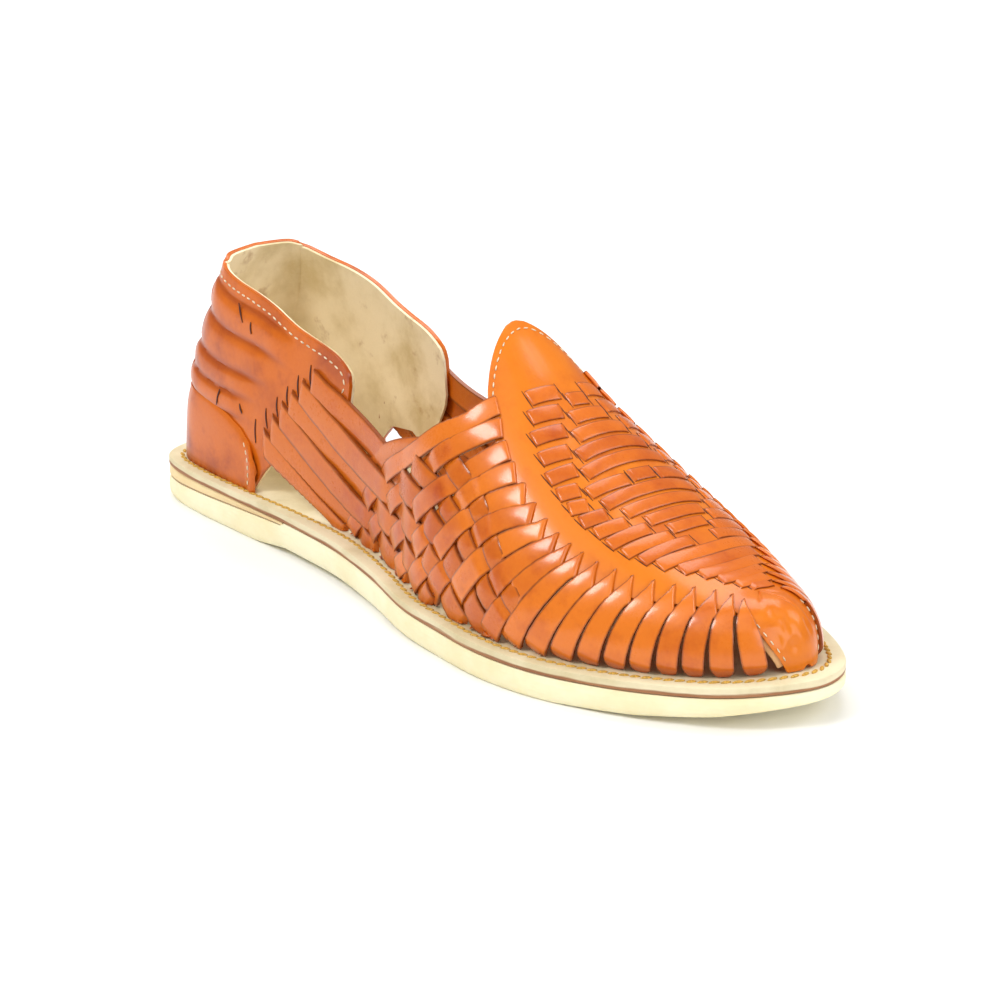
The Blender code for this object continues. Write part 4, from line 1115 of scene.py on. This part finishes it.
def crepe(name, body, shade, line):
    finish = Finish(name)
    level = finish.node("ShaderNodeSeparateXYZ", {}, [finish.uv], 1)
    cloud = finish.noise(26.0, 5.0, 0.6)
    pebble = finish.noise(420.0, 4.0, 0.6)
    layers = finish.noise(90.0, 3.0, 0.6, (1.0, 1.0, 9.0))
    colour = finish.mix(cloud.step(0.35, 0.72), body, shade)
    colour = finish.mix((layers - 0.4) * 0.35, colour, rgb(250, 240, 196))
    if line:    # the burnished seam at the layer's foot
        colour = finish.mix((1.0 - level.step(0.05, 0.35)) * 0.8, colour, rgb(150, 92, 56))
    normal = finish.bump(layers, 0.22, 0.0008)
    normal = finish.bump(pebble, 0.3, 0.0004, normal)
    finish.wear(**{"Base Color": colour, "Roughness": 0.66 + (pebble - 0.5) * 0.2, "Normal": normal,
                   "Subsurface Weight": 0.12, "Subsurface Radius": (0.004, 0.003, 0.0018)})
    return finish


crepe("crepeRubber", rgb(255, 248, 212), rgb(244, 230, 182), False).put(outsole)
crepe("liftRubber", rgb(244, 222, 170), rgb(230, 200, 144), True).put(wedge)


def thread(name, colour):
    finish = Finish(name)
    fine = finish.noise(1800.0, 2.0)
    shade = tuple(c * 0.6 for c in colour)
    finish.wear(**{"Base Color": finish.mix(fine.step(0.35, 0.7), colour, shade), "Roughness": 0.6,
                   "Normal": finish.bump(fine, 0.4, 0.0002)})
    return finish


thread("goldThread", rgb(222, 172, 70)).put(insoleStitches)
thread("whiteThread", rgb(244, 226, 190)).put(collarStitches, tongueStitches, foldStitches, capStitches)

for piece in (vampPiece, crossPiece, *wovenSides.values(), quarterPiece, liningPiece, slitPiece, flapPiece,
              collarStitches, tongueStitches, capStitches):
    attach(piece, "root")
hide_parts("upper")
for piece in (counterPiece, foldStitches):
    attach(piece, "root")
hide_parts("heel_counter")
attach(insoleStitches, "root")
print("finishes made")

# floor, light and camera
bpy.context.scene.view_settings.view_transform = "Standard"
bpy.context.scene.view_settings.exposure = -0.28
studio = {"target": (0.001, 0.0, 0.025), "azimuth": 49.231, "elevation": 20.85, "distance": 1.12, "lens": 127.0,
          "shiftX": 0.0132, "shiftY": 0.0175}
deselectAll()
bpy.ops.mesh.primitive_plane_add(size=6, location=(0, 0, 0))
floor = bpy.context.active_object
floor.name = "studioFloor"
ground = Finish("paleFloor")
ground.wear(**{"Base Color": (0.93, 0.93, 0.93), "Roughness": 0.8})
ground.put(floor)

world = bpy.data.worlds.new("studioWorld")
bpy.context.scene.world = world
world.use_nodes = True
world.node_tree.nodes["Background"].inputs["Color"].default_value = (1.0, 0.99, 0.98, 1)
world.node_tree.nodes["Background"].inputs["Strength"].default_value = 0.38


def backwards(azimuth, elevation):
    a, e = math.radians(azimuth), math.radians(elevation)
    return np.array((math.sin(a) * math.cos(e), -math.cos(a) * math.cos(e), math.sin(e)))


def aim(thing, place, target):
    direction = Vector(tuple(np.array(target) - place))
    thing.location = tuple(place)
    thing.rotation_euler = direction.to_track_quat("-Z", "Y").to_euler()


lamps = (
    # name, azimuth, elevation, distance, size, watts
    ("keyLamp", -10, 50, 1.4, 0.42, 11.0),
    ("sideLamp", -70, 38, 1.4, 0.50, 2.0),
    ("fillLamp", 44, 58, 1.5, 1.2, 4.0),
    ("toeLamp", 92, 22, 1.4, 0.8, 7.5),
    ("farLamp", 140, 44, 1.4, 0.6, 5.0),
)


def addLamp(name, place, target, size, watts):
    lamp = bpy.data.lights.new(name, "AREA")
    lamp.shape, lamp.size, lamp.energy = "SQUARE", size, watts
    holder = bpy.data.objects.new(name, lamp)
    bpy.context.scene.collection.objects.link(holder)
    aim(holder, place, target)


focus = np.array(studio["target"])
for name, azimuth, elevation, distance, size, watts in lamps:
    addLamp(name, focus + backwards(azimuth, elevation) * distance, focus, size, watts)
# one more lights the floor behind the shoe
behind = backwards(studio["azimuth"], 0) * -0.9
addLamp("floorLamp", behind + np.array((0.0, 0.0, 1.6)), behind + np.array((-0.001, 0.001, 0.0)), 1.2, 22.0)

lens = bpy.data.cameras.new("photoCamera")
lens.lens, lens.sensor_width = studio["lens"], 36.0
lens.shift_x, lens.shift_y = studio["shiftX"], studio["shiftY"]
lens.clip_start, lens.clip_end = 0.05, 20
camera = bpy.data.objects.new("photoCamera", lens)
bpy.context.scene.collection.objects.link(camera)
aim(camera, focus + backwards(studio["azimuth"], studio["elevation"]) * studio["distance"], focus)
bpy.context.scene.camera = camera
print("studio set")
